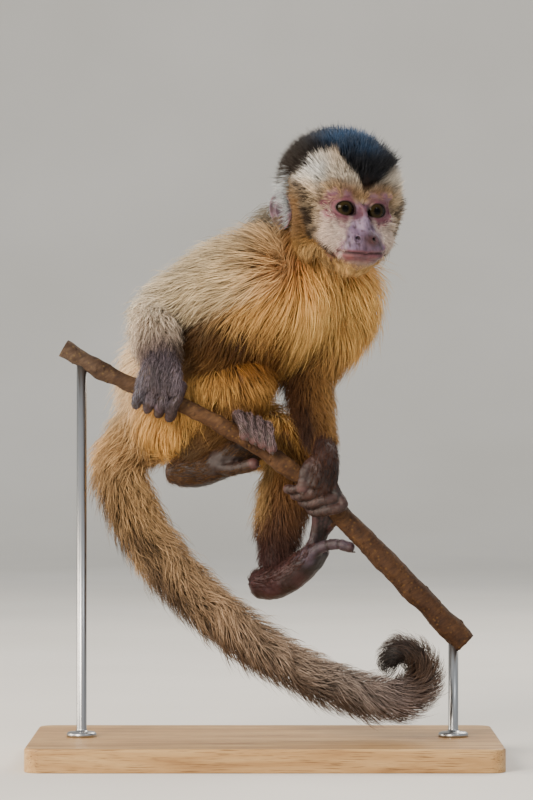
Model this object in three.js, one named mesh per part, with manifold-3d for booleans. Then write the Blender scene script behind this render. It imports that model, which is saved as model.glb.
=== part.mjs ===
// A young tufted capuchin, life size, as a still museum model. It crouches on a cut length of branch, which
// two rods hold over a flat base, and its tail hangs in a curve that ends in a small curl.
// Millimetres, +Z up. The origin is the middle of the base's underside. The branch runs along X above it,
// the body lies behind the branch (+Y), and the face looks out over it, along -Y and a little along +X.
// Left and right are the animal's own. Flesh is lofted or blended from the named sizes below, and the coat
// is flat, tapered locks that are fused into the flesh that they grow from.
import * as THREE from "three";
import { mergeVertices } from "three/addons/utils/BufferGeometryUtils.js";
import Module from "manifold-3d";

const wasm = await Module();
wasm.setup();

// ---------------------------------------------------------------- driving sizes, in mm and degrees
const GAP = 0.3; // between two nodes that touch
const CORE = 0.5; // how much of the coat's depth the plain form under the locks takes up
const SMOOTH = 0.09; // how far a surface may move when small triangles are merged

const BASE = { long: 280, deep: 160, high: 14, corner: 10, bevel: 1.5 };
const ROD = { radius: 3, foot: 9, footHigh: 3, left: -110, right: 113 };

// Each station of a line is [x, y, z, half width, half depth]. A round one leaves the depth out.
const PERCH = [
  [-121, 0, 247, 5.4], [-87, 0, 228, 5.2], [-46, 0, 211, 4.9], [-6, 0, 189, 5.2],
  [29, 0, 163, 5.8], [63, 0, 129, 6.8], [92, 0, 99, 7.2], [120, 0, 70, 7.6],
];
const KNOT = { x: 47, radius: 2.2, stands: 3 }; // a broken twig on the branch

const TRUNK = [
  [24, 40, 304, 18, 18], [15, 42, 292, 30, 28], [-4, 45, 275, 32, 33], [-22, 48, 253, 29, 29],
  [-38, 50, 234, 27, 25], [-55, 50, 216, 25, 22], [-72, 49, 199, 16, 15],
];
const WAIST = 0.6; // where the chest ends and the hips begin, as a share of the trunk

const NECK = [[38, 32, 327, 18], [25, 37, 316, 21], [10, 43, 302, 22]];

const UPPER_ARM_RIGHT = [
  [-1, 18, 297, 15, 16], [-20, 20, 292, 13.5, 15], [-43, 27, 282, 11, 11.5], [-62, 32, 273, 9, 9],
];
const FOREARM_RIGHT = [[-65, 31, 269, 9.5, 9], [-66, 14, 255, 9, 8.5], [-62, -7, 237, 7.5, 6.5]];
const UPPER_ARM_LEFT = [
  [46, 63, 288, 17, 17], [48, 61, 270, 14, 14], [37, 52, 247, 10.5, 10], [30, 44, 233, 9, 9],
];
const FOREARM_LEFT = [[28, 42, 229, 9.5, 9], [32, 25, 210, 8.5, 8.5], [38, 7, 189.5, 7, 6.5]];

const THIGH_RIGHT = [[-58, 37, 211, 20, 21], [-30, 31, 220, 18, 18], [-3, 21, 230, 12, 12]];
const THIGH_LEFT = [[-52, 66, 212, 20, 21], [-20, 52, 202, 17, 17], [15, 33, 190, 11.5, 11.5]];
const SHANK_RIGHT = [[-4, 21, 226, 9.5], [-24, 23, 203, 9.5, 8.5], [-44, 24, 182, 6, 6]];
const SHANK_LEFT = [[16, 32, 187, 9.5], [11, 29, 152, 9.5, 8.5], [2, 25, 116, 6, 6]];
const FOOT_RIGHT = [
  [-56, 24, 171, 6.5, 7], [-43, 23, 173, 8.5, 9], [-26, 20, 178, 10, 8.5],
  [-13, 16.5, 185, 11.5, 6], [-9, 14, 192, 11.5, 4.6],
];
const FOOT_LEFT = [
  [-5, 26, 102, 6.5, 7], [4, 24, 106, 8, 8], [17, 19, 113, 10, 6.5], [29, 14, 123, 10.5, 5],
];

const TAIL = [
  [-74, 48, 199, 12, 11], [-84, 47, 186, 10.5, 10], [-87, 45, 172, 9.6, 9.6], [-81, 39, 151, 9, 9],
  [-69, 30, 129, 8.4, 8.4], [-51, 19, 107, 7.9, 7.9], [-30, 8, 88, 7.4, 7.4], [-6, -2, 71, 7, 7],
  [21, -9, 55, 6.5, 6.5], [48, -14, 43, 6, 6], [72, -17, 38, 5.5, 5.5], [89, -19, 43, 5, 5],
  [95, -20, 55, 4.6, 4.6], [89, -21, 66, 4.2, 4.2], [79, -23, 68, 3.8, 3.8], [73, -25, 61, 3, 3],
];
const TAIL_CUTS = [0.02, 0.28, 0.5, 0.72, 1]; // where the tail is divided into four lengths

// The head's own frame: x to the nose, y to the left ear, z to the crown.
const HEAD = { at: [45, 24, 342], turn: -65, nod: 2, tilt: -4.7, heart: [8, 0, -10] };
const SKULL = { blend: 0.34, detail: 6, focus: 0.55 }; // how softly the forms meet, and how finely drawn
// The forms that blend into the head: [x, y, z, half length, half width, half height].
// Those with a y have a twin on the other side.
const HEAD_FORMS = [
  [-5, 0, 4, 41, 34, 34], // brain case, with the short hair of the cap
  [7, 20, -15, 13 + 3 * CORE, 8 + 8 * CORE, 19 + 5 * CORE], // ruff of the cheek
  [15, 0, -20, 18, 21, 25], // face
  [26.5, 0, -31, 12.5, 14, 12], // muzzle
  [25, 0, -40, 10, 10.5, 7], // chin
  [32, 0, -19, 6.5, 4.6, 11], // bridge and tip of the nose
  [31, 0, -34.8, 9, 13, 2.6], // upper lip
  [30, 0, -39.8, 9, 12, 2.6], // lower lip
  [5, 18, -18, 17, 9, 17], // cheek and jaw
  [21, 16, -17, 8, 7, 6], // cheek bone
  [26.5, 10.5, -2, 5.5, 10, 3.6], // brow
];
const EYE = { at: [25.4, 10, -11], radius: 8.3, lid: 1.1, long: 12.8, high: 9.4, slant: 6, turnOut: 4 };
const NOSTRIL = { y: 4.3, z: -27.6, size: [2.4, 1.5, 1.7] };
const MOUTH = { z: -37.4, half: 14, corner: 1.2, slope: 0.8, groove: 0.6 };
const EAR = { at: [-11, 34.5, -12], out: 4.6, wide: 8.6, tall: 12.4, rim: 1.7, forward: 34, lean: 12 };

// How deep a lock's root is sunk, its half thickness, and its breadth at shares of its length.
const LOCK = { sunk: 3, thick: 2, shape: [[0, 0.75], [0.4, 1], [0.74, 0.62]] };

const FINGER = 3.5; // half thickness at the root, of every finger and toe
const FINGERTIP = 2.7;

// ---------------------------------------------------------------- small tools
const vec = (x, y, z) => new THREE.Vector3(x, y, z);
const turnOf = (degrees) => THREE.MathUtils.degToRad(degrees);

function solid(geometry, matrix) {
  let shape = geometry;
  if (geometry.getAttribute("uv")) {
    shape = geometry.clone().deleteAttribute("uv").deleteAttribute("normal");
    shape = mergeVertices(shape, 1e-3);
  }
  if (matrix) shape = shape.clone().applyMatrix4(matrix);
  return new wasm.Manifold(
    new wasm.Mesh({
      numProp: 3,
      vertProperties: new Float32Array(shape.getAttribute("position").array),
      triVerts: new Uint32Array(shape.index.array),
    }),
  );
}

const joined = (solids) => (solids.length === 1 ? solids[0] : wasm.Manifold.union(solids));

// A boolean can leave a scrap, such as a lock's tip beyond a limb: a node is its largest closed surface.
function largest(shape) {
  return shape.decompose().reduce((best, piece) => (piece.volume() > best.volume() ? piece : best));
}

// Rings of vertices, with a pole before the first and after the last, as one closed surface.
function skinned(rings, first, last) {
  const sides = rings[0].length;
  const points = [...rings.flat(), first, last];
  const index = [];
  const start = points.length - 2;
  for (let j = 0; j < sides; j++) {
    const next = (j + 1) % sides;
    index.push(start, next, j);
    index.push(start + 1, start - sides + j, start - sides + next);
    for (let i = 0; i + 1 < rings.length; i++) {
      const a = i * sides;
      const b = a + sides;
      index.push(a + j, a + next, b + j, a + next, b + next, b + j);
    }
  }
  return new THREE.BufferGeometry().setFromPoints(points).setIndex(index);
}

// An ellipsoid, in the frame of the matrix.
function ellipsoid([x, y, z], [rx, ry, rz], { grow = 0, sides = 14, matrix, turn } = {}) {
  const place = new THREE.Matrix4().makeTranslation(x, y, z);
  if (turn) place.multiply(turn);
  place.multiply(new THREE.Matrix4().makeScale(rx + grow, ry + grow, rz + grow));
  if (matrix) place.premultiply(matrix);
  return solid(new THREE.SphereGeometry(1, sides, Math.round(sides * 0.7)), place);
}

// ---------------------------------------------------------------- limbs: ellipses along a smooth line
class Limb {
  constructor(stations, options = {}) {
    const { across = [vec(0, 1, 0)], sides = 10, steps = 2, coat = [0, 0] } = options;
    const { round = [0.7, 0.7], domes = [0.5, 0.86] } = options;
    this.line = new THREE.CatmullRomCurve3(stations.map(([x, y, z]) => vec(x, y, z)));
    const sizes = stations.map(([, , , wide, deep = wide], i) => {
      const fur = CORE * THREE.MathUtils.lerp(...coat, i / (stations.length - 1));
      return vec(wide + fur, deep + fur, 0);
    });
    this.sizes = new THREE.CatmullRomCurve3(sizes, false, "catmullrom");
    this.across = across;
    this.sides = sides;
    this.rings = (stations.length - 1) * steps;
    this.round = round;
    this.domes = domes;
  }

  // The section at share t of the line: its middle, two half sizes, and the directions along and across.
  section(t) {
    const along = this.line.getTangent(t);
    const place = Math.min(Math.max(t, 0), 0.9999) * (this.across.length - 1);
    const before = Math.floor(place);
    const after = this.across[before + 1] ?? this.across[0];
    const across = this.across[before].clone().lerp(after, place - before);
    const side = across.addScaledVector(along, -across.dot(along)).normalize();
    const { x: wide, y: deep } = this.sizes.getPoint(t);
    return { at: this.line.getPoint(t), along, side, up: along.clone().cross(side), wide, deep };
  }

  // The point of the skin at share t and angle turn from the side direction, with its outward normal.
  skin(t, turn) {
    const { at, along, side, up, wide, deep } = this.section(t);
    const [right, over] = [Math.cos(turn), Math.sin(turn)];
    const point = at.clone().addScaledVector(side, wide * right).addScaledVector(up, deep * over);
    const out = side.clone().multiplyScalar(right / wide).addScaledVector(up, over / deep).normalize();
    return { point, out, along };
  }

  // Whether a point is inside the limb by more than a margin.
  holds(point, margin = 0) {
    const steps = this.rings * 2;
    for (let i = 0; i <= steps; i++) {
      const { at, along, side, up, wide, deep } = this.section(i / steps);
      const off = point.clone().sub(at);
      const reach = this.line.getLength() / steps;
      if (Math.abs(off.dot(along)) > reach) continue;
      if (Math.hypot(off.dot(side) / (wide - margin), off.dot(up) / (deep - margin)) < 1) return true;
    }
    return false;
  }

  ring({ at, along, side, up, wide, deep }, shift, share, grow) {
    const centre = at.clone().addScaledVector(along, shift);
    return Array.from({ length: this.sides }, (_, j) => {
      const turn = (j / this.sides) * 2 * Math.PI;
      return centre
        .clone()
        .addScaledVector(side, (wide + grow) * share * Math.cos(turn))
        .addScaledVector(up, (deep + grow) * share * Math.sin(turn));
    });
  }

  // The stretch between two shares of the line. An end of the whole limb is rounded, and a cut is flat.
  solid({ from = 0, to = 1, grow = 0 } = {}) {
    const inner = 1e-4;
    const steps = Math.max(2, Math.round(this.rings * (to - from)));
    const rings = Array.from({ length: steps + 1 }, (_, i) => {
      const t = from + ((to - from) * i) / steps;
      return this.ring(this.section(t), i === 0 ? -grow : i === steps ? grow : 0, 1, grow);
    });
    const [first, last] = [from, to].map((t, end) => {
      const section = this.section(t);
      const way = end ? 1 : -1;
      const dome = (end ? t > 1 - inner : t < inner) ? this.round[end] : 0;
      const reach = dome * Math.min(section.wide, section.deep);
      if (dome) {
        for (const step of this.domes) {
          const ring = this.ring(section, way * (grow + reach * step), Math.sqrt(1 - step * step), grow);
          rings[end ? "push" : "unshift"](ring);
        }
      }
      return section.at.clone().addScaledVector(section.along, way * (grow + reach));
    });
    return solid(skinned(rings, first, last));
  }
}

// ---------------------------------------------------------------- the branch and what holds it
const perch = new Limb(PERCH, { sides: 10, round: [0, 0] });

// The share of the branch's line that is above a point of the base.
function shareOver(x) {
  let [low, high] = [0, 1];
  while (high - low > 1e-4) {
    const middle = (low + high) / 2;
    if (perch.line.getPoint(middle).x < x) low = middle;
    else high = middle;
  }
  return low;
}

function knot(grow) {
  const { point, out } = perch.skin(shareOver(KNOT.x), turnOf(-68));
  const { radius, stands } = KNOT;
  const twig = new THREE.CylinderGeometry(radius * 0.5 + grow, radius + grow, stands * 2 + grow, 7);
  const facing = new THREE.Quaternion().setFromUnitVectors(vec(0, 1, 0), out);
  return solid(twig, new THREE.Matrix4().compose(point, facing, vec(1, 1, 1)));
}

function base() {
  const [x, y, r] = [BASE.long / 2 - BASE.bevel, BASE.deep / 2 - BASE.bevel, BASE.corner];
  const outline = new THREE.Shape();
  outline.moveTo(-x + r, -y);
  outline.absarc(x - r, -y + r, r, -Math.PI / 2, 0);
  outline.absarc(x - r, y - r, r, 0, Math.PI / 2);
  outline.absarc(-x + r, y - r, r, Math.PI / 2, Math.PI);
  outline.absarc(-x + r, -y + r, r, Math.PI, Math.PI * 1.5);
  const plate = new THREE.ExtrudeGeometry(outline, {
    depth: BASE.high - 2 * BASE.bevel,
    bevelThickness: BASE.bevel,
    bevelSize: BASE.bevel,
    bevelSegments: 1,
    curveSegments: 2,
  });
  return solid(plate, new THREE.Matrix4().makeTranslation(0, 0, BASE.bevel));
}

// A rod with a round foot. It reaches up into the branch, which later cuts its top to a saddle.
function rod(x, grow = 0) {
  const bottom = BASE.high + GAP - grow;
  const top = perch.section(shareOver(x)).at.z;
  const { radius, foot, footHigh } = ROD;
  const profile = [
    [0, bottom], [foot + grow, bottom], [foot + grow, bottom + footHigh * 0.6],
    [foot - 1.5 + grow, bottom + footHigh], [radius + grow, bottom + footHigh + 1],
    [radius + grow, top], [0, top],
  ].map(([r, z]) => new THREE.Vector2(r, z));
  const upright = new THREE.Matrix4().makeRotationX(Math.PI / 2);
  const place = new THREE.Matrix4().makeTranslation(x, 0, 0).multiply(upright);
  return solid(new THREE.LatheGeometry(profile, 10), place);
}

// ---------------------------------------------------------------- the head
const headFrame = new THREE.Matrix4()
  .makeTranslation(...HEAD.at)
  .multiply(new THREE.Matrix4().makeRotationZ(turnOf(HEAD.turn)))
  .multiply(new THREE.Matrix4().makeRotationY(turnOf(HEAD.nod)))
  .multiply(new THREE.Matrix4().makeRotationX(turnOf(HEAD.tilt)));

const twinsOf = ([x, y, ...rest]) => (y ? [[x, y, ...rest], [x, -y, ...rest]] : [[x, y, ...rest]]);
const lidForm = [...EYE.at, EYE.radius + EYE.lid, EYE.radius + EYE.lid, EYE.radius + EYE.lid];
const headForms = [...HEAD_FORMS, lidForm].flatMap(twinsOf);

// How far the head's skin is from its heart in a direction: the forms' far sides, blended where they meet.
function headReach(way) {
  let sum = 0;
  for (const [x, y, z, rx, ry, rz] of headForms) {
    const from = vec((HEAD.heart[0] - x) / rx, (HEAD.heart[1] - y) / ry, (HEAD.heart[2] - z) / rz);
    const ray = vec(way.x / rx, way.y / ry, way.z / rz);
    const nearest = -from.dot(ray) / ray.lengthSq();
    const missed = from.addScaledVector(ray, nearest).lengthSq() - 1; // negative where the ray meets the form
    const beyond = missed < 0 ? Math.sqrt(-missed / ray.lengthSq()) : -missed * Math.min(rx, ry, rz);
    sum += Math.exp(SKULL.blend * (nearest + beyond));
  }
  return Math.log(sum) / SKULL.blend;
}

// A sphere's directions, drawn together towards the face, where the forms are smallest.
function headBlend(grow = 0) {
  const ball = new THREE.IcosahedronGeometry(1, SKULL.detail);
  const places = ball.getAttribute("position");
  const face = vec(SKULL.focus, 0, -SKULL.focus * 0.3);
  for (let i = 0; i < places.count; i++) {
    const way = vec(0, 0, 0).fromBufferAttribute(places, i).add(face).normalize();
    places.setXYZ(i, ...way.multiplyScalar(headReach(way) + grow).add(vec(...HEAD.heart)).toArray());
  }
  return solid(ball, headFrame);
}

// The skin's point in front of a place on the face, given by its y and z.
function faceAt(y, z) {
  const way = vec(25, y, z - HEAD.heart[2]);
  for (let i = 0; i < 12; i++) {
    const reach = headReach(way.clone().normalize());
    way.x = Math.sqrt(Math.max(9, reach * reach - way.y * way.y - way.z * way.z));
  }
  return way.add(vec(...HEAD.heart));
}

function eyeball(side, grow = 0) {
  const [x, y, z] = EYE.at;
  const ball = EYE.radius;
  return ellipsoid([x, y * side, z], [ball, ball, ball], { grow, sides: 9, matrix: headFrame });
}

// The opening between the lids: an almond, pushed through along the line of sight.
function lidOpening(side) {
  const { long, high } = EYE;
  const almond = new THREE.Shape();
  almond.moveTo(-long / 2, 0);
  almond.quadraticCurveTo(0, high, long / 2, 0);
  almond.quadraticCurveTo(0, -high * 0.86, -long / 2, 0);
  const cutter = new THREE.ExtrudeGeometry(almond, { depth: 20, bevelEnabled: false, curveSegments: 4 });
  const [x, y, z] = EYE.at;
  const sight = new THREE.Matrix4().makeBasis(vec(0, 1, 0), vec(0, 0, 1), vec(1, 0, 0));
  const place = new THREE.Matrix4()
    .makeTranslation(x, y * side, z)
    .multiply(new THREE.Matrix4().makeRotationZ(turnOf(EYE.turnOut * side)))
    .multiply(new THREE.Matrix4().makeRotationX(turnOf(EYE.slant * side)))
    .multiply(sight)
    .premultiply(headFrame);
  return solid(cutter, place);
}

// The line of the mouth: a thin groove that follows the muzzle and rises a little at its corners.
function mouthLine() {
  const count = 8;
  const stations = Array.from({ length: count + 1 }, (_, i) => {
    const share = (i / count) * 2 - 1;
    const point = faceAt(MOUTH.half * share, MOUTH.z + MOUTH.corner * share ** 4 + MOUTH.slope * share);
    return [...point.applyMatrix4(headFrame).toArray(), MOUTH.groove * 1.6, MOUTH.groove];
  });
  const forward = vec(1, 0, 0).transformDirection(headFrame);
  return new Limb(stations, { across: [forward], sides: 5, steps: 1, round: [0.3, 0.3] }).solid();
}

function nostril(side) {
  const turn = new THREE.Matrix4().makeRotationZ(turnOf(35 * side));
  const place = faceAt(NOSTRIL.y * side, NOSTRIL.z).toArray();
  return ellipsoid(place, NOSTRIL.size, { sides: 6, matrix: headFrame, turn });
}

function head(grow = 0) {
  if (grow) return headBlend(grow + 0.7).simplify(0.7);
  const cuts = [1, -1].flatMap((side) => [eyeball(side, GAP), lidOpening(side), nostril(side)]);
  return headBlend().subtract(joined([...cuts, mouthLine()]));
}

// The cup of an ear: a shallow bowl that opens sideways and forwards, with a rolled rim.
function ear(side, grow = 0) {
  const [x, y, z] = EAR.at;
  const turn = new THREE.Matrix4()
    .makeRotationZ(turnOf(side * (90 - EAR.forward)))
    .multiply(new THREE.Matrix4().makeRotationY(turnOf(EAR.lean)));
  const shape = { matrix: headFrame, turn };
  const bowl = ellipsoid([x, y * side, z], [EAR.out, EAR.wide, EAR.tall], { ...shape, grow, sides: 10 });
  if (grow) return bowl;
  const outward = vec(1, 0, 0).transformDirection(turn).multiplyScalar(EAR.out * 0.85);
  const hollowAt = vec(x, y * side, z).add(outward).toArray();
  const hollow = [EAR.out, EAR.wide - EAR.rim, EAR.tall - EAR.rim];
  const front = vec(x, y * side, z).addScaledVector(outward, 0.45).add(vec(5.2, 0, -2.5)).toArray();
  const tragus = ellipsoid(front, [2.6, 2.2, 3.4], { ...shape, sides: 6 });
  return bowl.subtract(ellipsoid(hollowAt, hollow, { ...shape, sides: 9 })).add(tragus);
}

// ---------------------------------------------------------------- hands and feet, closed round the branch
// Points round the branch, from one angle to another, that start over the place x and lean along the
// branch as they go. Angle 0 is above the branch, 90 in front, and 180 below. Each point is clear of the
// bark by the digit's own half thickness, and by the lift that is given for it.
function wrap({ x, lean = 0, from, to, lift = [0], points = 4 }) {
  return Array.from({ length: points }, (_, i) => {
    const share = i / (points - 1);
    const { at, along, wide } = perch.section(shareOver(x + lean * share));
    const front = vec(0, -1, 0);
    const above = front.clone().cross(along);
    const turn = turnOf(from + (to - from) * share);
    const reach = wide + FINGER + 1 + lift[Math.min(i, lift.length - 1)];
    at.addScaledVector(above, reach * Math.cos(turn)).addScaledVector(front, reach * Math.sin(turn));
    return at.toArray();
  });
}

// Directions across a line that turn as little as they can on the way along it.
function carried(line, first, count = 24) {
  let side = first;
  return Array.from({ length: count + 1 }, (_, i) => {
    const along = line.getTangent(i / count);
    side = side.clone().addScaledVector(along, -side.dot(along)).normalize();
    return side;
  });
}

function digit(points, { root = FINGER, tip = FINGERTIP } = {}) {
  const last = points.length - 1;
  const line = new THREE.CatmullRomCurve3(points.map((point) => vec(...point)));
  const stations = points.map((point, i) => {
    const share = i / last;
    const knuckle = 1 + 0.07 * Math.cos(share * 4 * Math.PI); // fuller at the joints than between them
    return [...point, (root + (tip - root) * share) * knuckle];
  });
  const across = carried(line, vec(0.3, 1, 0.2));
  return new Limb(stations, { across, sides: 5, steps: 1, round: [0, 0.9], domes: [0.7] });
}

const spread = (count, make) => Array.from({ length: count }, (_, i) => make(i / (count - 1)));

const rightHand = [
  new Limb(
    [[-61, -6, 239, 8, 6.5], [-62, -10.5, 232, 12.5, 5.8], [-63, -11.5, 224, 14, 4.4]],
    { across: [vec(1, 0, -0.35)], round: [0, 0.8] },
  ),
  ...spread(4, (share) =>
    digit([
      [-68 + 13 * share, -10, 231],
      ...wrap({ x: -76 + 22 * share, lean: 1, from: 52, to: 222, lift: [2.4, 1.6, 0.4, 0] }),
    ])),
  digit([[-55, -9, 227], ...wrap({ x: -54, from: 10, to: -110, lift: [1, 0], points: 4 })]),
];
const leftHand = [
  new Limb(
    [[39, 5, 189, 7, 6.5], [40.5, -3, 182, 9.5, 6], [40.5, -9, 172, 12, 5.4], [39, -11, 164, 10, 4]],
    { across: [vec(0.6, 0.3, -0.75)], round: [0, 0.8] },
  ),
  ...spread(4, (share) =>
    digit([
      [39 + share, -9, 174 - 9 * share],
      ...wrap({
        x: 27 + 11 * share,
        lean: -8 * share,
        from: 45 + 35 * share,
        to: 140 + 45 * share,
        lift: [1.4, 1.6, 0.6, 0],
      }),
    ])),
  digit([[38, -4, 180], [30, -3, 184], ...wrap({ x: 16.5, lean: 4.5, from: 5, to: 100, points: 3 })]),
];
const rightFoot = [
  new Limb(FOOT_RIGHT, { across: [vec(0.2, 0.9, 0.3), vec(0.85, 0.1, -0.5)], round: [0.7, 0.3] }),
  ...spread(4, (share) =>
    digit(
      [
        [-15 + 12 * share, 14, 190 - 4 * share],
        [-16 + 16.5 * share, 8, 202.5 - 6 * share],
        [-16 + 17 * share, -1, 207 - 6.5 * share - 3 * (share - 0.5) ** 2],
        [-14 + 16.5 * share, -9.4, 202 - 7 * share],
        [-11.5 + 15.5 * share, -10, 194.5 - 8 * share],
      ],
      { root: FINGER, tip: 2.8 },
    )),
  digit([[-30, 16, 176], [-20, 11, 173], [-11, 5, 175], [-4, 0, 176]], { root: 4.6, tip: 3.2 }),
];
const leftFoot = [
  new Limb(FOOT_LEFT, { across: [vec(0.1, 0.95, 0.2), vec(0.45, 0.75, -0.4)] }),
  ...spread(4, (share) =>
    digit(
      [
        [26 + 4 * share, 10 + 7 * share, 121],
        [30 + 5 * share, 12 + 4 * share, 134],
        ...wrap({ x: 36 + 9 * share, lean: -3, from: -118, to: -62, points: 3 }),
      ],
      { tip: 2.6 },
    )),
  digit([[24, 11, 120], [33, 7, 127], [43, 3, 129.5], [52, 2, 127]], { root: 4.4, tip: 3.2 }),
];

const allOf = (limbs) => (grow) => joined(limbs.map((limb) => limb.solid({ grow })));

// ---------------------------------------------------------------- the body's limbs
const shoulders = vec(0.67, 0.72, -0.15);
const hipsAcross = vec(0.1, 0.98, 0.05);
const trunk = new Limb(TRUNK, { across: [shoulders, hipsAcross], sides: 14, coat: [14, 11] });
const neck = new Limb(NECK, { sides: 10, round: [0, 0], coat: [12, 14] });
const upperArmRight = new Limb(UPPER_ARM_RIGHT, { across: [vec(0.2, 0.9, 0.3)], coat: [13, 10] });
const upperArmLeft = new Limb(UPPER_ARM_LEFT, { across: [vec(0.3, 0.9, 0)], coat: [12, 9] });
const wrist = { round: [0.8, 0] };
const forearmRight = new Limb(FOREARM_RIGHT, { ...wrist, across: [vec(1, 0.1, -0.2)], coat: [10, 6] });
const forearmLeft = new Limb(FOREARM_LEFT, { ...wrist, across: [vec(0.9, 0.3, 0.2)], coat: [9, 6] });
const thighRight = new Limb(THIGH_RIGHT, { coat: [12, 9] });
const thighLeft = new Limb(THIGH_LEFT, { coat: [12, 9] });
const shankRight = new Limb(SHANK_RIGHT, { coat: [8, 3] });
const shankLeft = new Limb(SHANK_LEFT, { coat: [8, 3] });
const tail = new Limb(TAIL, { steps: 2, round: [0, 0.9], coat: [11, 9.5] });

// A stretch of a limb as a function of how much it is grown, with half the gap taken off each cut.
function stretch(limb, from, to) {
  const half = GAP / 2 / limb.line.getLength();
  return (grow) => limb.solid({ from: from > 0 ? from + half : 0, to: to < 1 ? to - half : 1, grow });
}

// ---------------------------------------------------------------- the coat's locks
const DOWN = vec(0, 0, -1);
let seed = 7;
const random = (low = 0, high = 1) => low + (high - low) * THREE.MathUtils.seededRandom(seed++);

// A direction with the part that points out of the skin taken away.
const along = (way, out) => way.clone().addScaledVector(out, -way.dot(out)).normalize();

// A flat, pointed tuft with a low ridge along it. Its root is sunk in the flesh, its middle stands off, and
// its tip bends back to lie along the coat.
function lock({ root, out, lie, length, wide, rise, hug = 0 }, grow = 0) {
  const path = new THREE.QuadraticBezierCurve3(
    root.clone().addScaledVector(out, -LOCK.sunk),
    root.clone().addScaledVector(out, rise * 1.2).addScaledVector(lie, length * 0.36),
    root.clone().addScaledVector(out, rise * 0.8 - hug).addScaledVector(lie, length),
  );
  const side = lie.clone().cross(out).normalize();
  const rings = LOCK.shape.map(([t, share]) => {
    const at = path.getPoint(t);
    const up = side.clone().cross(path.getTangent(t)).normalize();
    return [[-1, -0.35], [0, 1], [1, -0.35]].map(([x, y]) =>
      at
        .clone()
        .addScaledVector(side, x * (wide * share + grow * 2))
        .addScaledVector(up, y * (LOCK.thick * share + grow * 2)),
    );
  });
  const end = path.getTangent(1).multiplyScalar(grow * 3).add(path.getPoint(1));
  return solid(skinned(rings, path.getPoint(0), end));
}

const LIMBS = [
  trunk, neck, upperArmRight, upperArmLeft, forearmRight, forearmLeft,
  thighRight, thighLeft, shankRight, shankLeft, tail,
];

// Staggered rows of locks on a stretch of a limb. They lie along it, and downwards by the share fall.
function coat(limb, { from = 0, to = 1, rows, round, length, wide, rise, fall = 0.2 }) {
  const locks = [];
  for (let row = 0; row < rows; row++) {
    for (let i = 0; i < round; i++) {
      const t = from + ((to - from) * (row + random(0.1, 0.7))) / rows;
      const turn = ((i + (row % 2) / 2 + random(-0.2, 0.2)) / round) * 2 * Math.PI;
      const { point, out, along: on } = limb.skin(t, turn);
      if (LIMBS.some((other) => other !== limb && other.holds(point))) continue;
      const stray = vec(random(-1, 1), random(-1, 1), random(-1, 1)).multiplyScalar(0.2);
      const lie = along(on.clone().addScaledVector(DOWN, fall).add(stray), out);
      const share = random(0.8, 1.2);
      locks.push({ root: point, out, lie, length: length * share, wide: wide * random(0.85, 1.15), rise });
    }
  }
  return locks;
}

// The locks of the ruff and the nape, below the cap. They lie away from the face, and downwards.
function ruffLocks({ count, length, wide, rise, curl }) {
  const face = vec(0.82, 0, -0.57);
  const ears = twinsOf(EAR.at).map((ear) => vec(...ear).sub(vec(...HEAD.heart)).normalize());
  const at = (way) => way.clone().multiplyScalar(headReach(way)).add(vec(...HEAD.heart));
  const locks = [];
  for (let i = 0; i < count; i++) {
    const z = 1 - (2 * (i + 0.5)) / count;
    const turn = i * 2.39996 + random(-0.1, 0.1);
    const way = vec(Math.cos(turn) * Math.sqrt(1 - z * z), Math.sin(turn) * Math.sqrt(1 - z * z), z);
    const bare = way.dot(face) > 0.5;
    const below = way.z < -0.62 && way.x < 0.35;
    if (bare || below || way.z > 0.3 || ears.some((ear) => way.dot(ear) > 0.93)) continue;
    const side = vec(0, 0, 1).cross(way).normalize();
    const near = [side, side.clone().cross(way)].map((step) =>
      at(way.clone().addScaledVector(step, 0.05).normalize()));
    const root = at(way);
    const out = near[0].sub(root).cross(near[1].sub(root)).normalize();
    if (out.dot(way) < 0) out.negate();
    const lie = along(vec(0, 0, -0.4).sub(face), out).transformDirection(headFrame);
    locks.push({
      root: root.applyMatrix4(headFrame),
      out: out.transformDirection(headFrame),
      lie,
      length: length * random(0.8, 1.2),
      wide: wide * random(0.85, 1.15),
      rise,
      hug: (length * length) / curl,
    });
  }
  return locks;
}

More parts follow.
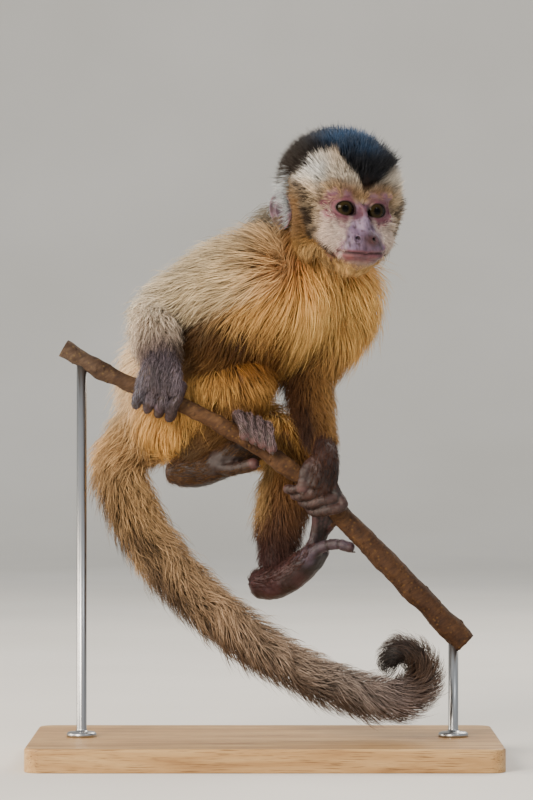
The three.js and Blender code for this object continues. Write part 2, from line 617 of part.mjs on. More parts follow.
const UPPER = { from: 0.05, to: 0.85 }; // the part of a forearm that has the longer coat
const tailLength = (i) => ({ from: TAIL_CUTS[i], to: TAIL_CUTS[i + 1] });
const COAT = {
  head: ruffLocks({ count: 104, length: 20, wide: 5, rise: 4, curl: 80 }),
  neck: coat(neck, { from: 0.3, rows: 2, round: 7, length: 29, wide: 5.8, rise: 5, fall: 0.6 }),
  torso: coat(trunk, { to: WAIST, rows: 4, round: 8, length: 36, wide: 6.4, rise: 5, fall: 0.7 }),
  hips: coat(trunk, { from: WAIST, rows: 3, round: 6, length: 30, wide: 6, rise: 4.6, fall: 0.5 }),
  upper_arm_right: coat(upperArmRight, { to: 0.9, rows: 4, round: 5, length: 27, wide: 5.4, rise: 4.6 }),
  forearm_right: coat(forearmRight, { ...UPPER, rows: 2, round: 4, length: 22, wide: 4.6, rise: 3.2 }),
  upper_arm_left: coat(upperArmLeft, { to: 0.9, rows: 3, round: 4, length: 29, wide: 5.6, rise: 4.6 }),
  forearm_left: coat(forearmLeft, { ...UPPER, rows: 2, round: 5, length: 24, wide: 4.8, rise: 3.2 }),
  thigh_right: coat(thighRight, { rows: 4, round: 5, length: 29, wide: 5.8, rise: 4.4, fall: 0.8 }),
  thigh_left: coat(thighLeft, { rows: 3, round: 3, length: 30, wide: 6, rise: 4.4, fall: 0.8 }),
  shank_right: coat(shankRight, { to: 0.8, rows: 2, round: 4, length: 20, wide: 4.4, rise: 2.6 }),
  shank_left: coat(shankLeft, { to: 0.85, rows: 3, round: 3, length: 22, wide: 4.6, rise: 2.8 }),
  tail_base: coat(tail, { ...tailLength(0), rows: 4, round: 4, length: 29, wide: 5.2, rise: 4.2 }),
  tail_middle: coat(tail, { ...tailLength(1), rows: 3, round: 4, length: 30, wide: 5, rise: 4 }),
  tail_end: coat(tail, { ...tailLength(2), rows: 3, round: 4, length: 28, wide: 4.8, rise: 3.8 }),
  tail_tip: coat(tail, { ...tailLength(3), rows: 4, round: 3, length: 17, wide: 4.2, rise: 3, fall: 0 }),
};

// ---------------------------------------------------------------- materials
const finish = (color, roughness, metalness = 0) =>
  new THREE.MeshStandardMaterial({ color, roughness, metalness });
const GOLD = finish("#b98a4e", 0.9);
const TAWNY = finish("#a9783f", 0.9);
const GREY = finish("#a08f78", 0.9);
const UMBER = finish("#4a3328", 0.85);
const CREAM = finish("#d9c9a4", 0.9);
const SKIN = finish("#5a423c", 0.7);
const EAR_SKIN = finish("#b58f8b", 0.7);
const EYE_GLOSS = finish("#3a2410", 0.08);
const BARK = finish("#8a5f41", 0.85);
const OAK = finish("#b08a5c", 0.5);
const STEEL = finish("#9a9c9e", 0.3, 1);

// ---------------------------------------------------------------- the nodes
// In this order, an earlier node keeps its shape and a later one is cut clear of it.
const NODES = [
  ["stand_base", (grow) => (grow ? null : base()), OAK],
  ["perch", (grow) => perch.solid({ grow }).add(knot(grow)), BARK],
  ["stand_rod_left", (grow) => rod(ROD.left, grow), STEEL],
  ["stand_rod_right", (grow) => rod(ROD.right, grow), STEEL],
  ["eye_left", (grow) => eyeball(1, grow), EYE_GLOSS],
  ["eye_right", (grow) => eyeball(-1, grow), EYE_GLOSS],
  ["head", head, CREAM],
  ["ear_left", (grow) => ear(1, grow), EAR_SKIN],
  ["ear_right", (grow) => ear(-1, grow), EAR_SKIN],
  ["hand_right", allOf(rightHand), SKIN],
  ["hand_left", allOf(leftHand), SKIN],
  ["foot_right", allOf(rightFoot), SKIN],
  ["foot_left", allOf(leftFoot), SKIN],
  ["torso", stretch(trunk, 0, WAIST), GOLD],
  ["hips", stretch(trunk, WAIST, 1), TAWNY],
  ["neck", (grow) => neck.solid({ grow }), GOLD],
  ["tail_base", stretch(tail, TAIL_CUTS[0], TAIL_CUTS[1]), TAWNY],
  ["tail_middle", stretch(tail, TAIL_CUTS[1], TAIL_CUTS[2]), TAWNY],
  ["tail_end", stretch(tail, TAIL_CUTS[2], TAIL_CUTS[3]), UMBER],
  ["tail_tip", stretch(tail, TAIL_CUTS[3], 1), UMBER],
  ["upper_arm_right", (grow) => upperArmRight.solid({ grow }), GREY],
  ["forearm_right", (grow) => forearmRight.solid({ grow }), UMBER],
  ["upper_arm_left", (grow) => upperArmLeft.solid({ grow }), GOLD],
  ["forearm_left", (grow) => forearmLeft.solid({ grow }), UMBER],
  ["thigh_right", (grow) => thighRight.solid({ grow }), TAWNY],
  ["shank_right", (grow) => shankRight.solid({ grow }), TAWNY],
  ["thigh_left", (grow) => thighLeft.solid({ grow }), TAWNY],
  ["shank_left", (grow) => shankLeft.solid({ grow }), UMBER],
];

function geometryOf(shape) {
  const { numProp, vertProperties, triVerts } = shape.getMesh();
  const count = vertProperties.length / numProp;
  const places = new Float32Array(count * 3);
  for (let i = 0; i < count; i++) places.set(vertProperties.subarray(i * numProp, i * numProp + 3), i * 3);
  const geometry = new THREE.BufferGeometry();
  geometry.setAttribute("position", new THREE.BufferAttribute(places, 3));
  geometry.setIndex(new THREE.BufferAttribute(new Uint32Array(triVerts), 1));
  return mergeVertices(geometry, 1e-3);
}

// A node's mesh: its largest surface, with small triangles merged.
function meshOf(name, shape, material) {
  const plain = largest(largest(shape).simplify(SMOOTH));
  const geometry = geometryOf(largest(solid(geometryOf(plain))));
  geometry.computeVertexNormals();
  const mesh = new THREE.Mesh(geometry, material);
  mesh.name = name;
  return mesh;
}

// The flesh of a node is cut clear of the nodes before it, and its locks are cut clear of all other flesh
// and of the locks before them.
const monkey = new THREE.Group();
const grown = NODES.map(([, flesh]) => flesh(GAP));
const fleshBefore = [];
const locksBefore = [];
NODES.forEach(([name, flesh, material], place) => {
  const clear = (shape, others) => (others.length ? shape.subtract(joined(others)) : shape);
  let shape = clear(flesh(0), fleshBefore);
  if (grown[place]) fleshBefore.push(grown[place]);
  const locks = COAT[name];
  if (locks) {
    const others = grown.filter((other, i) => other && i !== place);
    shape = shape.add(clear(joined(locks.map((one) => lock(one))), [...others, ...locksBefore]));
    locksBefore.push(joined(locks.map((one) => lock(one, GAP))));
  }
  monkey.add(meshOf(name, shape, material));
});

export default monkey;
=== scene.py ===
"""A young tufted capuchin monkey, life size, as a museum model on a cut branch over an oak base.

Shapes are written in millimetres, in the frame of the solids, and become metres when a mesh is made. Left and
right are the animal's own. The body is a skin that lies inside the solids by the depth of the coat, and the
coat is thin tufts of real mesh that grow from it. Skin and coat take their colours from the same markings."""

import math

import bmesh
import bpy
import numpy as np
from mathutils import Matrix, Vector, kdtree


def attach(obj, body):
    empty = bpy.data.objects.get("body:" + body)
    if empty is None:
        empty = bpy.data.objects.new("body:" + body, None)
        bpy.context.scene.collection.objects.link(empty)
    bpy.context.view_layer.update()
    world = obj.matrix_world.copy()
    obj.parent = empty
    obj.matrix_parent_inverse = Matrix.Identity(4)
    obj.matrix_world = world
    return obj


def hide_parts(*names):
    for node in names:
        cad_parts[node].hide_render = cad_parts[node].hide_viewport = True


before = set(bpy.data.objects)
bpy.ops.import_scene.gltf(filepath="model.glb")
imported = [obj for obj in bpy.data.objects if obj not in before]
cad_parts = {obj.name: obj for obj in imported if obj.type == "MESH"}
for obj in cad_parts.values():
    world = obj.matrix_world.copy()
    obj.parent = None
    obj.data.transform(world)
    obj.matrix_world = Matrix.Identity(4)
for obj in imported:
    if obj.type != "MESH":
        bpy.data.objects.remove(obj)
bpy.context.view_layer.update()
MM = 0.001
chance = np.random.default_rng(7)

# ---------------------------------------------------------------- sizes, in millimetres
PERCH = [(-121, 0, 247, 5.4), (-87, 0, 228, 5.2), (-46, 0, 211, 4.9), (-6, 0, 189, 5.2),
         (29, 0, 163, 5.8), (63, 0, 129, 6.8), (92, 0, 99, 7.2), (120, 0, 70, 7.6)]
BASE = dict(long=280, deep=160, high=14, corner=10, bevel=1.5)
ROD = dict(radius=3, foot=9, foot_high=3, left=-110, right=113)
FINGER, FINGERTIP = 3.9, 3.0

# The limbs: stations of x, y, z, half width and half depth along a line, the direction of the width, and the
# coat as rows of share along the line, length of hair, depth of coat, and the hair's colours at root and tip.
LIMBS = {
    "trunk": dict(
        line=[(24, 40, 304, 18, 18), (15, 42, 292, 30, 28), (-4, 45, 275, 32, 33), (-22, 48, 253, 29, 29),
              (-38, 50, 234, 27, 25), (-55, 50, 216, 25, 22), (-72, 49, 199, 16, 15)],
        across=[(0.67, 0.72, -0.15), (0.1, 0.98, 0.05)], sides=28,
        coat=[(0, 30, 14, "#b07a3c", "#e6b978"), (0.35, 30, 13, "#a97636", "#e0b26c"),
              (0.7, 28, 12, "#9c6e38", "#d9b07a"), (1, 26, 11, "#a27a48", "#e0c090")]),
    "neck": dict(
        line=[(38, 32, 327, 18), (25, 37, 316, 21), (10, 43, 302, 22)], across=[(0, 1, 0)], sides=24,
        coat=[(0, 20, 12, "#7f6748", "#b59f7c"), (1, 26, 14, "#94734a", "#c7ab7e")]),
    "upper_arm_right": dict(
        line=[(-1, 18, 297, 15, 16), (-20, 20, 292, 13.5, 15), (-43, 27, 282, 11, 11.5),
              (-62, 32, 273, 9, 9)],
        across=[(0.2, 0.9, 0.3)], sides=20,
        coat=[(0, 27, 13, "#a87a48", "#dcb986"), (0.4, 26, 12, "#a18a66", "#d8c4a0"),
              (1, 21, 11, "#9c8a6e", "#d6c6a8")]),
    "forearm_right": dict(
        line=[(-65, 31, 269, 9.5, 9), (-66, 14, 255, 9, 8.5), (-62, -7, 237, 7.5, 6.5)],
        across=[(1, 0.1, -0.2)], sides=18,
        coat=[(0, 20, 11, "#b3a58e", "#ece0ca"), (0.45, 18, 9, "#ad9d89", "#dfcfba"),
              (0.7, 16, 8, "#93826f", "#c4b3a2"), (0.86, 13, 6, "#5e504a", "#8f7d76"),
              (1, 10, 5, "#352b2d", "#5f555c")]),
    "upper_arm_left": dict(
        line=[(46, 63, 288, 17, 17), (48, 61, 270, 14, 14), (36, 52, 247, 10.5, 10), (28, 44, 233, 9, 9)],
        across=[(0.3, 0.9, 0)], sides=20,
        coat=[(0, 29, 12, "#b07c3c", "#dfb474"), (0.5, 27, 11, "#7a4f22", "#b98a4c"),
              (1, 20, 9, "#40240f", "#6f4a22")]),
    "forearm_left": dict(
        line=[(27, 42, 229, 9.5, 9), (28.5, 25, 210, 8.5, 8.5), (34, 7, 190, 7, 6.5)],
        across=[(0.9, 0.3, 0.2)], sides=18,
        coat=[(0, 19, 9, "#2c1608", "#4c2d14"), (0.5, 15, 7, "#2f1910", "#54361f"),
              (1, 10, 5, "#2a1a16", "#4a352c")]),
    "thigh_right": dict(
        line=[(-58, 37, 211, 20, 21), (-32, 31, 219, 18, 18), (-9, 22, 228, 12, 12)],
        across=[(0, 1, 0)], sides=22,
        coat=[(0, 27, 12, "#8f5f28", "#c8924a"), (0.5, 26, 10, "#744715", "#b27a30"),
              (1, 22, 7, "#6a3f15", "#a06a2c")]),
    "thigh_left": dict(
        line=[(-52, 66, 212, 20, 21), (-20, 52, 202, 17, 17), (15, 33, 190, 11.5, 11.5)],
        across=[(0, 1, 0)], sides=22,
        coat=[(0, 27, 12, "#966730", "#c99a5a"), (0.6, 20, 10, "#7c5222", "#ad7f3c"),
              (1, 18, 9, "#4f2f16", "#7c5526")]),
    "shank_right": dict(
        line=[(-9, 22, 225, 9.5), (-26, 23, 203, 9.5, 8.5), (-44, 24, 182, 6, 6)],
        across=[(0, 1, 0)], sides=18,
        coat=[(0, 15, 8, "#7b522a", "#aa7a40"), (0.5, 13, 6, "#5e4026", "#84603a"),
              (1, 9, 4, "#43301f", "#604a32")]),
    "shank_left": dict(
        line=[(16, 32, 187, 10.5), (12, 29, 152, 11, 9.5), (5, 25, 117, 8, 8)],
        across=[(0, 1, 0)], sides=18,
        coat=[(0, 18, 9, "#62401f", "#8f6430"), (0.5, 15, 8, "#4f3522", "#7a5635"),
              (0.85, 9, 4.5, "#37211b", "#4f352c"),
              (1, 7, 3, "#341f1d", "#4a302d")]),
    "tail": dict(
        line=[(-74, 48, 199, 12, 11), (-84, 47, 186, 10.5, 10), (-87, 45, 172, 9.6), (-81, 39, 151, 9),
              (-69, 30, 129, 8.4), (-51, 19, 107, 7.9), (-30, 8, 88, 7.4), (-6, -2, 71, 7),
              (21, -9, 55, 6.5), (48, -14, 43, 6.6), (72, -17, 39, 6.8), (88, -19, 44, 7),
              (93, -20, 55, 7), (88, -21, 65, 6.5), (79, -23, 67, 6), (74, -25, 61, 5)],
        across=[(0, 1, 0)], sides=16,
        coat=[(0, 27, 11, "#a07a4a", "#dcb988"), (0.1, 26, 12, "#8d6c42", "#cda878"),
              (0.22, 25, 12, "#755a3a", "#bd9a6c"), (0.42, 24, 12, "#6b5640", "#b39677"),
              (0.6, 23, 11.5, "#675a52", "#a39489"), (0.72, 20, 10, "#544945", "#8f817e"),
              (0.8, 14, 7.5, "#372a22", "#5f4c3f"), (0.93, 11, 6, "#2a2322", "#463a34"),
              (1, 10, 6, "#1a1716", "#322b29")]),
}

# The head's own frame: x to the nose, y to the left ear, z to the crown.
HEAD = dict(at=(45, 24, 342), turn=-65, nod=2, tilt=-3.2, heart=(8, 0, -10), blend=0.34)
# The forms that blend into the head: x, y, z, half length, half width, half height. Those with y have a twin.
HEAD_FORMS = [
    (-5, 0, 4, 34, 28, 28),  # brain case
    (7, 20, -15, 13, 8, 19),  # side of the head, under the ruff
    (15, 0, -20, 18, 21, 25),  # face
    (26.5, 0, -31, 12.5, 14, 12),  # muzzle
    (25, 0, -40, 10, 10.5, 7),  # chin
    (32, 0, -19, 6.5, 4.6, 11),  # bridge and tip of the nose
    (31, 0, -34.8, 9, 13, 2.6),  # upper lip
    (30, 0, -39.8, 9, 12, 2.6),  # lower lip
    (5, 18, -18, 17, 9, 17),  # cheek and jaw
    (21, 16, -17, 8, 7, 6),  # cheek bone
    (26.5, 10.5, -2, 5.5, 10, 3.6),  # brow
    (25.4, 10, -11, 9.4, 9.4, 9.4),  # lids
]
# The same with the depth of the coat on the brain case and in the ruff.
HEAD_COATED = [(-5, 0, 4, 41, 34, 34), (7, 20, -15, 16, 16, 24), *HEAD_FORMS[2:]]
EYE = dict(at=(25.4, 10, -11), ball=8.3, wide=6.2, over=4.2, under=3.8, slant=6, turn=4)
NOSTRIL = (5.2, -28.6)
MOUTH = dict(z=-37.4, half=15.4, corner=1.2, slope=0.8)
EAR = dict(at=(-9, 33, -13.5), wide=7.6, tall=11.4, forward=34, lean=12, sides=64)


# ---------------------------------------------------------------- small tools
def linear(hex_value):
    """An sRGB hex value as linear red, green and blue."""
    srgb = np.array([int(hex_value[i:i + 2], 16) for i in (1, 3, 5)]) / 255
    return np.where(srgb <= 0.04045, srgb / 12.92, ((srgb + 0.055) / 1.055) ** 2.4)


def unit(v):
    """Vectors at length one."""
    return v / np.maximum(np.linalg.norm(v, axis=-1, keepdims=True), 1e-9)


def ease(low, high, x):
    """0 below low, 1 above high, and smooth between them."""
    t = np.clip((x - low) / (high - low), 0, 1)
    return t * t * (3 - 2 * t)


def mix(a, b, share):
    """From a at a share of 0 to b at a share of 1."""
    return a + (b - a) * np.asarray(share)[..., None]


def bell(x, width):
    """1 at x = 0, and down to 0.37 a width away."""
    return np.exp(-((x / width) ** 2))


def wander(points, size, seed):
    """Smooth random numbers in space, about -1 to 1, that change over the given size."""
    ways = np.random.default_rng(seed)
    total = 0
    for _ in range(7):
        way = unit(ways.normal(size=3)) / size * ways.uniform(0.6, 1.8)
        total = total + np.sin(points @ way * 2 + ways.uniform(0, 6.28))
    return total / 2.6


def circle(count):
    """Angles once round."""
    return np.linspace(0, 2 * math.pi, count, endpoint=False)


def smooth_line(stations, count):
    """Points on a Catmull-Rom curve through stations of any width."""
    rows = np.array([s if len(s) == 5 or len(s) == 3 else (*s, s[3]) for s in stations], float)
    ends = np.vstack([2 * rows[0] - rows[1], rows, 2 * rows[-1] - rows[-2]])
    u = np.linspace(0, len(rows) - 1, count)
    i = np.minimum(u.astype(int), len(rows) - 2)
    f = (u - i)[:, None]
    a, b, c, d = ends[i], ends[i + 1], ends[i + 2], ends[i + 3]
    return 0.5 * (2 * b + (c - a) * f + (2 * a - 5 * b + 4 * c - d) * f**2 + (3 * b - a - 3 * c + d) * f**3)


def piece(name, points, faces, material, colour=None, uv=None, body="root"):
    """A mesh object from arrays in millimetres. Colour is one linear value for each vertex, uv one place."""
    mesh = bpy.data.meshes.new(name)
    faces = np.asarray(faces, np.int32)
    mesh.vertices.add(len(points))
    mesh.vertices.foreach_set("co", (np.asarray(points, np.float32) * MM).ravel())
    mesh.loops.add(faces.size)
    mesh.loops.foreach_set("vertex_index", faces.ravel())
    mesh.polygons.add(len(faces))
    mesh.polygons.foreach_set("loop_start", np.arange(len(faces), dtype=np.int32) * faces.shape[1])
    mesh.polygons.foreach_set("use_smooth", np.ones(len(faces), bool))
    mesh.update(calc_edges=True)
    paint(mesh, colour, uv)
    mesh.materials.append(material)
    thing = bpy.data.objects.new(name, mesh)
    bpy.context.scene.collection.objects.link(thing)
    if body:
        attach(thing, body)
    return thing


def paint(mesh, colour=None, uv=None):
    """Writes the tone attribute and the OFBake map of a mesh, from one value for each vertex."""
    if colour is not None:
        tone = mesh.attributes.new("tone", "FLOAT_COLOR", "POINT")
        rgba = np.ones((len(mesh.vertices), 4), np.float32)
        rgba[:, :3] = colour
        tone.data.foreach_set("color", rgba.ravel())
    if uv is not None:
        corners = np.empty(len(mesh.loops), np.int32)
        mesh.loops.foreach_get("vertex_index", corners)
        layer = mesh.uv_layers.new(name="OFBake")
        layer.uv.foreach_set("vector", np.asarray(uv, np.float32)[corners].ravel())


def arrays_of(mesh):
    """The points in millimetres, the vertex normals and the triangles of a mesh."""
    points = np.empty(len(mesh.vertices) * 3, np.float32)
    mesh.vertices.foreach_get("co", points)
    normals = np.empty(len(mesh.vertices) * 3, np.float32)
    mesh.vertex_normals.foreach_get("vector", normals)
    mesh.calc_loop_triangles()
    triangles = np.empty(len(mesh.loop_triangles) * 3, np.int32)
    mesh.loop_triangles.foreach_get("vertices", triangles)
    return points.reshape(-1, 3) / MM, normals.reshape(-1, 3), triangles.reshape(-1, 3)


def loft(rings, first, last):
    """Rings of points, with a pole before the first and after the last, as points and triangles."""
    count, sides = len(rings), len(rings[0])
    points = np.vstack([np.concatenate(rings), [first], [last]])
    j = np.arange(sides)
    k = (j + 1) % sides
    faces = [np.stack([np.full(sides, count * sides), k, j], 1)]
    for i in range(count - 1):
        a, b = i * sides, (i + 1) * sides
        faces += [np.stack([a + j, a + k, b + j], 1), np.stack([a + k, b + k, b + j], 1)]
    a = (count - 1) * sides
    faces.append(np.stack([np.full(sides, count * sides + 1), a + j, a + k], 1))
    return points, np.concatenate(faces)


def merged(shapes):
    """Several pairs of points and faces as one."""
    start, points, faces = 0, [], []
    for p, f in shapes:
        points.append(p)
        faces.append(np.asarray(f) + start)
        start += len(p)
    return np.concatenate(points), np.concatenate(faces)


class Line:
    """A limb as ellipses along a smooth line."""

    def __init__(self, line, across=((0, 1, 0),), sides=14, coat=None, carry=False, round_ends=(0.7, 0.7)):
        self.sides, self.round_ends = sides, round_ends
        count = 6 * (len(line) - 1) + 1
        rows = smooth_line(line, count)
        self.at, self.wide, self.deep = rows[:, :3], rows[:, 3], rows[:, 4]
        self.share = np.linspace(0, 1, count)
        self.along = unit(np.gradient(self.at, axis=0))
        ways = np.array(across, float)
        place = self.share * (len(ways) - 1)
        side = np.stack([np.interp(place, np.arange(len(ways)), ways[:, c]) for c in range(3)], 1)
        if carry:
            for i in range(1, count):
                side[i] = side[i - 1]
                side[i] -= self.along[i] * (side[i] @ self.along[i])
        self.side = unit(side - self.along * (side * self.along).sum(1, keepdims=True))
        self.up = np.cross(self.along, self.side)
        self.coat = coat

    def shape(self, grow=0.0):
        """The limb with round ends, as points and triangles."""
        turn = np.arange(self.sides) / self.sides * 2 * math.pi

        def ring(i, shift, share):
            centre = self.at[i] + self.along[i] * shift
            wide, deep = (self.wide[i] + grow) * share, (self.deep[i] + grow) * share
            across = np.outer(np.cos(turn), self.side[i]) * wide
            return centre + across + np.outer(np.sin(turn), self.up[i]) * deep

        rings = [ring(i, 0, 1) for i in range(len(self.at))]
        poles = []
        for end, (i, way) in enumerate(((0, -1), (len(self.at) - 1, 1))):
            reach = self.round_ends[end] * min(self.wide[i], self.deep[i])
            for step in (0.35, 0.6, 0.8, 0.94):
                dome = ring(i, way * (reach * step + grow), math.sqrt(1 - step * step))
                rings = rings + [dome] if end else [dome] + rings
            poles.append(self.at[i] + self.along[i] * way * (reach + grow))
        return loft(rings, *poles)

    def nearest(self, points):
        """For each point: how far out it is in half thicknesses, its sample of the line, and its turn."""
        far = np.empty(len(points), np.float32)
        best = np.empty(len(points), np.int32)
        size = (self.wide + self.deep) / 2
        for start in range(0, len(points), 20000):
            off = points[start:start + 20000, None, :] - self.at[None]
            d = (np.einsum("nmc,mc->nm", off, self.side) / self.wide) ** 2
            d += (np.einsum("nmc,mc->nm", off, self.up) / self.deep) ** 2
            d += (np.einsum("nmc,mc->nm", off, self.along) / size) ** 2
            best[start:start + 20000] = d.argmin(1)
            far[start:start + 20000] = np.sqrt(d.min(1))
        off = points - self.at[best]
        turn = np.arctan2((off * self.up[best]).sum(1) / self.deep[best],
                          (off * self.side[best]).sum(1) / self.wide[best])
        return far, best, turn


# ---------------------------------------------------------------- materials
def node(tree, kind, links=None, **settings):
    """Adds a node to a tree: settings are properties or input values, links are inputs from other sockets."""
    made = tree.nodes.new(kind)
    for key, value in settings.items():
        if hasattr(made, key):
            setattr(made, key, value)
        else:
            made.inputs[key.replace("_", " ")].default_value = value
    for key, source in (links or {}).items():
        tree.links.new(source, made.inputs[key])
    return made


def material(name, **settings):
    """A new material and its Principled shader, with values on the shader's own sockets."""
    made = bpy.data.materials.new(name)
    made.use_nodes = True
    tree = made.node_tree
    shader = tree.nodes["Principled BSDF"]
    for key, value in settings.items():
        if key == "colour":
            shader.inputs["Base Color"].default_value = (*linear(value), 1)
        else:
            shader.inputs[key.replace("_", " ").title().replace("Ior", "IOR")].default_value = value
    return made, tree, shader


def ramp(tree, source, stops):
    """A colour ramp from a socket, with stops of place and hex value."""
    made = node(tree, "ShaderNodeValToRGB", {"Fac": source})
    for i, (place, value) in enumerate(stops):
        stop = made.color_ramp.elements[i] if i < 2 else made.color_ramp.elements.new(place)
        stop.position = place
        stop.color = (*linear(value), 1)
    return made.outputs["Color"]


def bump(tree, shader, height, depth, strength=1.0):
    """Relief from a height of 0 to 1, over a depth in metres."""
    made = node(tree, "ShaderNodeBump", {"Height": height}, Strength=strength, Distance=depth)
    tree.links.new(made.outputs["Normal"], shader.inputs["Normal"])


def coat_material():
    """Monkey hair: fine, slightly waxy strands. The tone attribute gives each strand its colour bands."""
    made, tree, shader = material("hair_strands", roughness=0.58, specular_ior_level=0.22)
    tone = node(tree, "ShaderNodeAttribute", attribute_name="tone")
    tree.links.new(tone.outputs["Color"], shader.inputs["Base Color"])
    return made


def skin_material():
    """Living skin: soft, a little moist, with pores and fine creases of about 0.5 mm."""
    made, tree, shader = material("bare_skin", roughness=0.52, specular_ior_level=0.4, subsurface_weight=0.12,
                                  subsurface_scale=0.002)
    shader.inputs["Subsurface Radius"].default_value = (1.0, 0.35, 0.25)
    place = node(tree, "ShaderNodeTexCoord").outputs["Object"]
    tone = node(tree, "ShaderNodeAttribute", attribute_name="tone")
    blotch = node(tree, "ShaderNodeTexNoise", {"Vector": place}, Scale=420.0, Detail=3.0, Roughness=0.6)
    darker = node(tree, "ShaderNodeHueSaturation", {"Color": tone.outputs["Color"]},
                  Saturation=1.12, Value=0.7)
    share = node(tree, "ShaderNodeMapRange", {"Value": blotch.outputs["Fac"]}, From_Min=0.42, From_Max=0.72)
    mottled = node(tree, "ShaderNodeMixRGB", {
        "Color1": tone.outputs["Color"], "Color2": darker.outputs["Color"], "Fac": share.outputs["Result"]})
    tree.links.new(mottled.outputs["Color"], shader.inputs["Base Color"])
    creases = node(tree, "ShaderNodeTexVoronoi", {"Vector": place}, feature="DISTANCE_TO_EDGE", Scale=1500.0)
    pores = node(tree, "ShaderNodeTexNoise", {"Vector": place}, Scale=2400.0, Detail=2.0)
    relief = node(tree, "ShaderNodeMath", {0: creases.outputs["Distance"], 1: pores.outputs["Fac"]},
                  operation="ADD")
    bump(tree, shader, relief.outputs["Value"], 0.00018, 0.6)
    return made


def eye_material():
    """A wet eye: an olive brown iris with a dark rim. The map's V is the distance from the pupil's middle."""
    made, tree, shader = material("wet_eye", roughness=0.3, specular_ior_level=0.0, coat_weight=0.45,
                                  coat_roughness=0.03, coat_ior=1.3)
    uv = node(tree, "ShaderNodeUVMap", uv_map="OFBake")
    apart = node(tree, "ShaderNodeSeparateXYZ", {"Vector": uv.outputs["UV"]})
    stretched = node(tree, "ShaderNodeMapping", {"Vector": uv.outputs["UV"]})
    stretched.inputs["Scale"].default_value = (60, 3, 1)
    fibres = node(tree, "ShaderNodeTexNoise", {"Vector": stretched.outputs["Vector"]}, Scale=1.0, Detail=3.0)
    moved = node(tree, "ShaderNodeMath", {0: fibres.outputs["Fac"]}, operation="MULTIPLY_ADD")
    moved.inputs[1].default_value = 0.05
    moved.inputs[2].default_value = -0.025
    shifted = node(tree, "ShaderNodeMath", {0: apart.outputs["Y"], 1: moved.outputs["Value"]},
                   operation="ADD")
    colour = ramp(tree, shifted.outputs["Value"], [
        (0.0, "#000000"), (0.17, "#010100"), (0.21, "#090602"), (0.27, "#201808"), (0.4, "#2b220d"),
        (0.5, "#130e06"), (0.55, "#050302"), (0.64, "#0d0705"), (0.76, "#22130f"), (1.0, "#3d241d")])
    tree.links.new(colour, shader.inputs["Base Color"])
    return made


def nail_material():
    """Horn: dark, smooth and a little translucent, with fine lengthwise growth."""
    made, tree, shader = material("horn_nails", roughness=0.34, specular_ior_level=0.5)
    place = node(tree, "ShaderNodeTexCoord").outputs["Object"]
    grain = node(tree, "ShaderNodeTexNoise", {"Vector": place}, Scale=900.0, Detail=2.0)
    colour = ramp(tree, grain.outputs["Fac"], [(0.3, "#241a17"), (0.75, "#4a3832")])
    tree.links.new(colour, shader.inputs["Base Color"])
    return made


def bark_material():
    """Young bark: smooth brown skin with lengthwise cracks, pale flecks and darker damp patches, greyer where
    the branch is thin and high and darker where it is thick and low."""
    made, tree, shader = material("young_bark", roughness=0.78, specular_ior_level=0.3)
    place = node(tree, "ShaderNodeTexCoord").outputs["Object"]
    turned = node(tree, "ShaderNodeMapping", {"Vector": place})
    turned.inputs["Rotation"].default_value = (0, math.radians(37), 0)
    lengthwise = node(tree, "ShaderNodeMapping", {"Vector": turned.outputs["Vector"]})
    lengthwise.inputs["Scale"].default_value = (90, 520, 520)
    cracks = node(tree, "ShaderNodeTexNoise", {"Vector": lengthwise.outputs["Vector"]}, Scale=1.0, Detail=6.0,
                  Roughness=0.65)
    patches = node(tree, "ShaderNodeTexNoise", {"Vector": place}, Scale=70.0, Detail=4.0, Roughness=0.6)
    flecks = node(tree, "ShaderNodeTexVoronoi", {"Vector": place}, Scale=330.0, Randomness=1.0)
    ground = ramp(tree, cracks.outputs["Fac"], [(0.28, "#463224"), (0.5, "#654832"), (0.72, "#7c5e42")])
    damp = ramp(tree, patches.outputs["Fac"], [(0.35, "#9c8268"), (0.62, "#ffffff")])
    worn = node(tree, "ShaderNodeMixRGB", {"Color1": ground, "Color2": damp}, blend_type="MULTIPLY", Fac=0.75)
    spot = node(tree, "ShaderNodeMapRange", {"Value": flecks.outputs["Distance"]},
                From_Min=0.3, From_Max=0.05, To_Max=0.55)
    pale = node(tree, "ShaderNodeMixRGB", {"Color1": worn.outputs["Color"], "Fac": spot.outputs["Result"]})
    pale.inputs["Color2"].default_value = (*linear("#95733f"), 1)
    along = node(tree, "ShaderNodeSeparateXYZ", {"Vector": place})
    stretch = node(tree, "ShaderNodeMapRange", {"Value": along.outputs["X"]},
                   From_Min=-0.13, From_Max=0.13)
    # The tint is set by the place along the branch: greyer and bluer at its thin, high end and darker at its
    # thick, low end.
    tint_along_branch = ramp(tree, stretch.outputs["Result"], [(0.1, "#c9d8ea"), (0.35, "#dad2b8"), (0.8, "#b3a68c")])
    tinted = node(tree, "ShaderNodeMixRGB", {"Color1": pale.outputs["Color"], "Color2": tint_along_branch},
                  blend_type="MULTIPLY", Fac=1.0)
    tree.links.new(tinted.outputs["Color"], shader.inputs["Base Color"])
    relief = node(tree, "ShaderNodeMath", {0: cracks.outputs["Fac"], 1: patches.outputs["Fac"]},
                  operation="ADD")
    bump(tree, shader, relief.outputs["Value"], 0.0006, 0.8)
    return made


def cut_wood_material():
    """A sawn end of green wood: pale, with a grain about 1.5 mm across."""
    made, tree, shader = material("sawn_end", roughness=0.7)
    place = node(tree, "ShaderNodeTexCoord").outputs["Object"]
    grain = node(tree, "ShaderNodeTexNoise", {"Vector": place}, Scale=700.0, Detail=3.0)
    colour = ramp(tree, grain.outputs["Fac"], [(0.3, "#a98558"), (0.7, "#cfae7c")])
    tree.links.new(colour, shader.inputs["Base Color"])
    return made


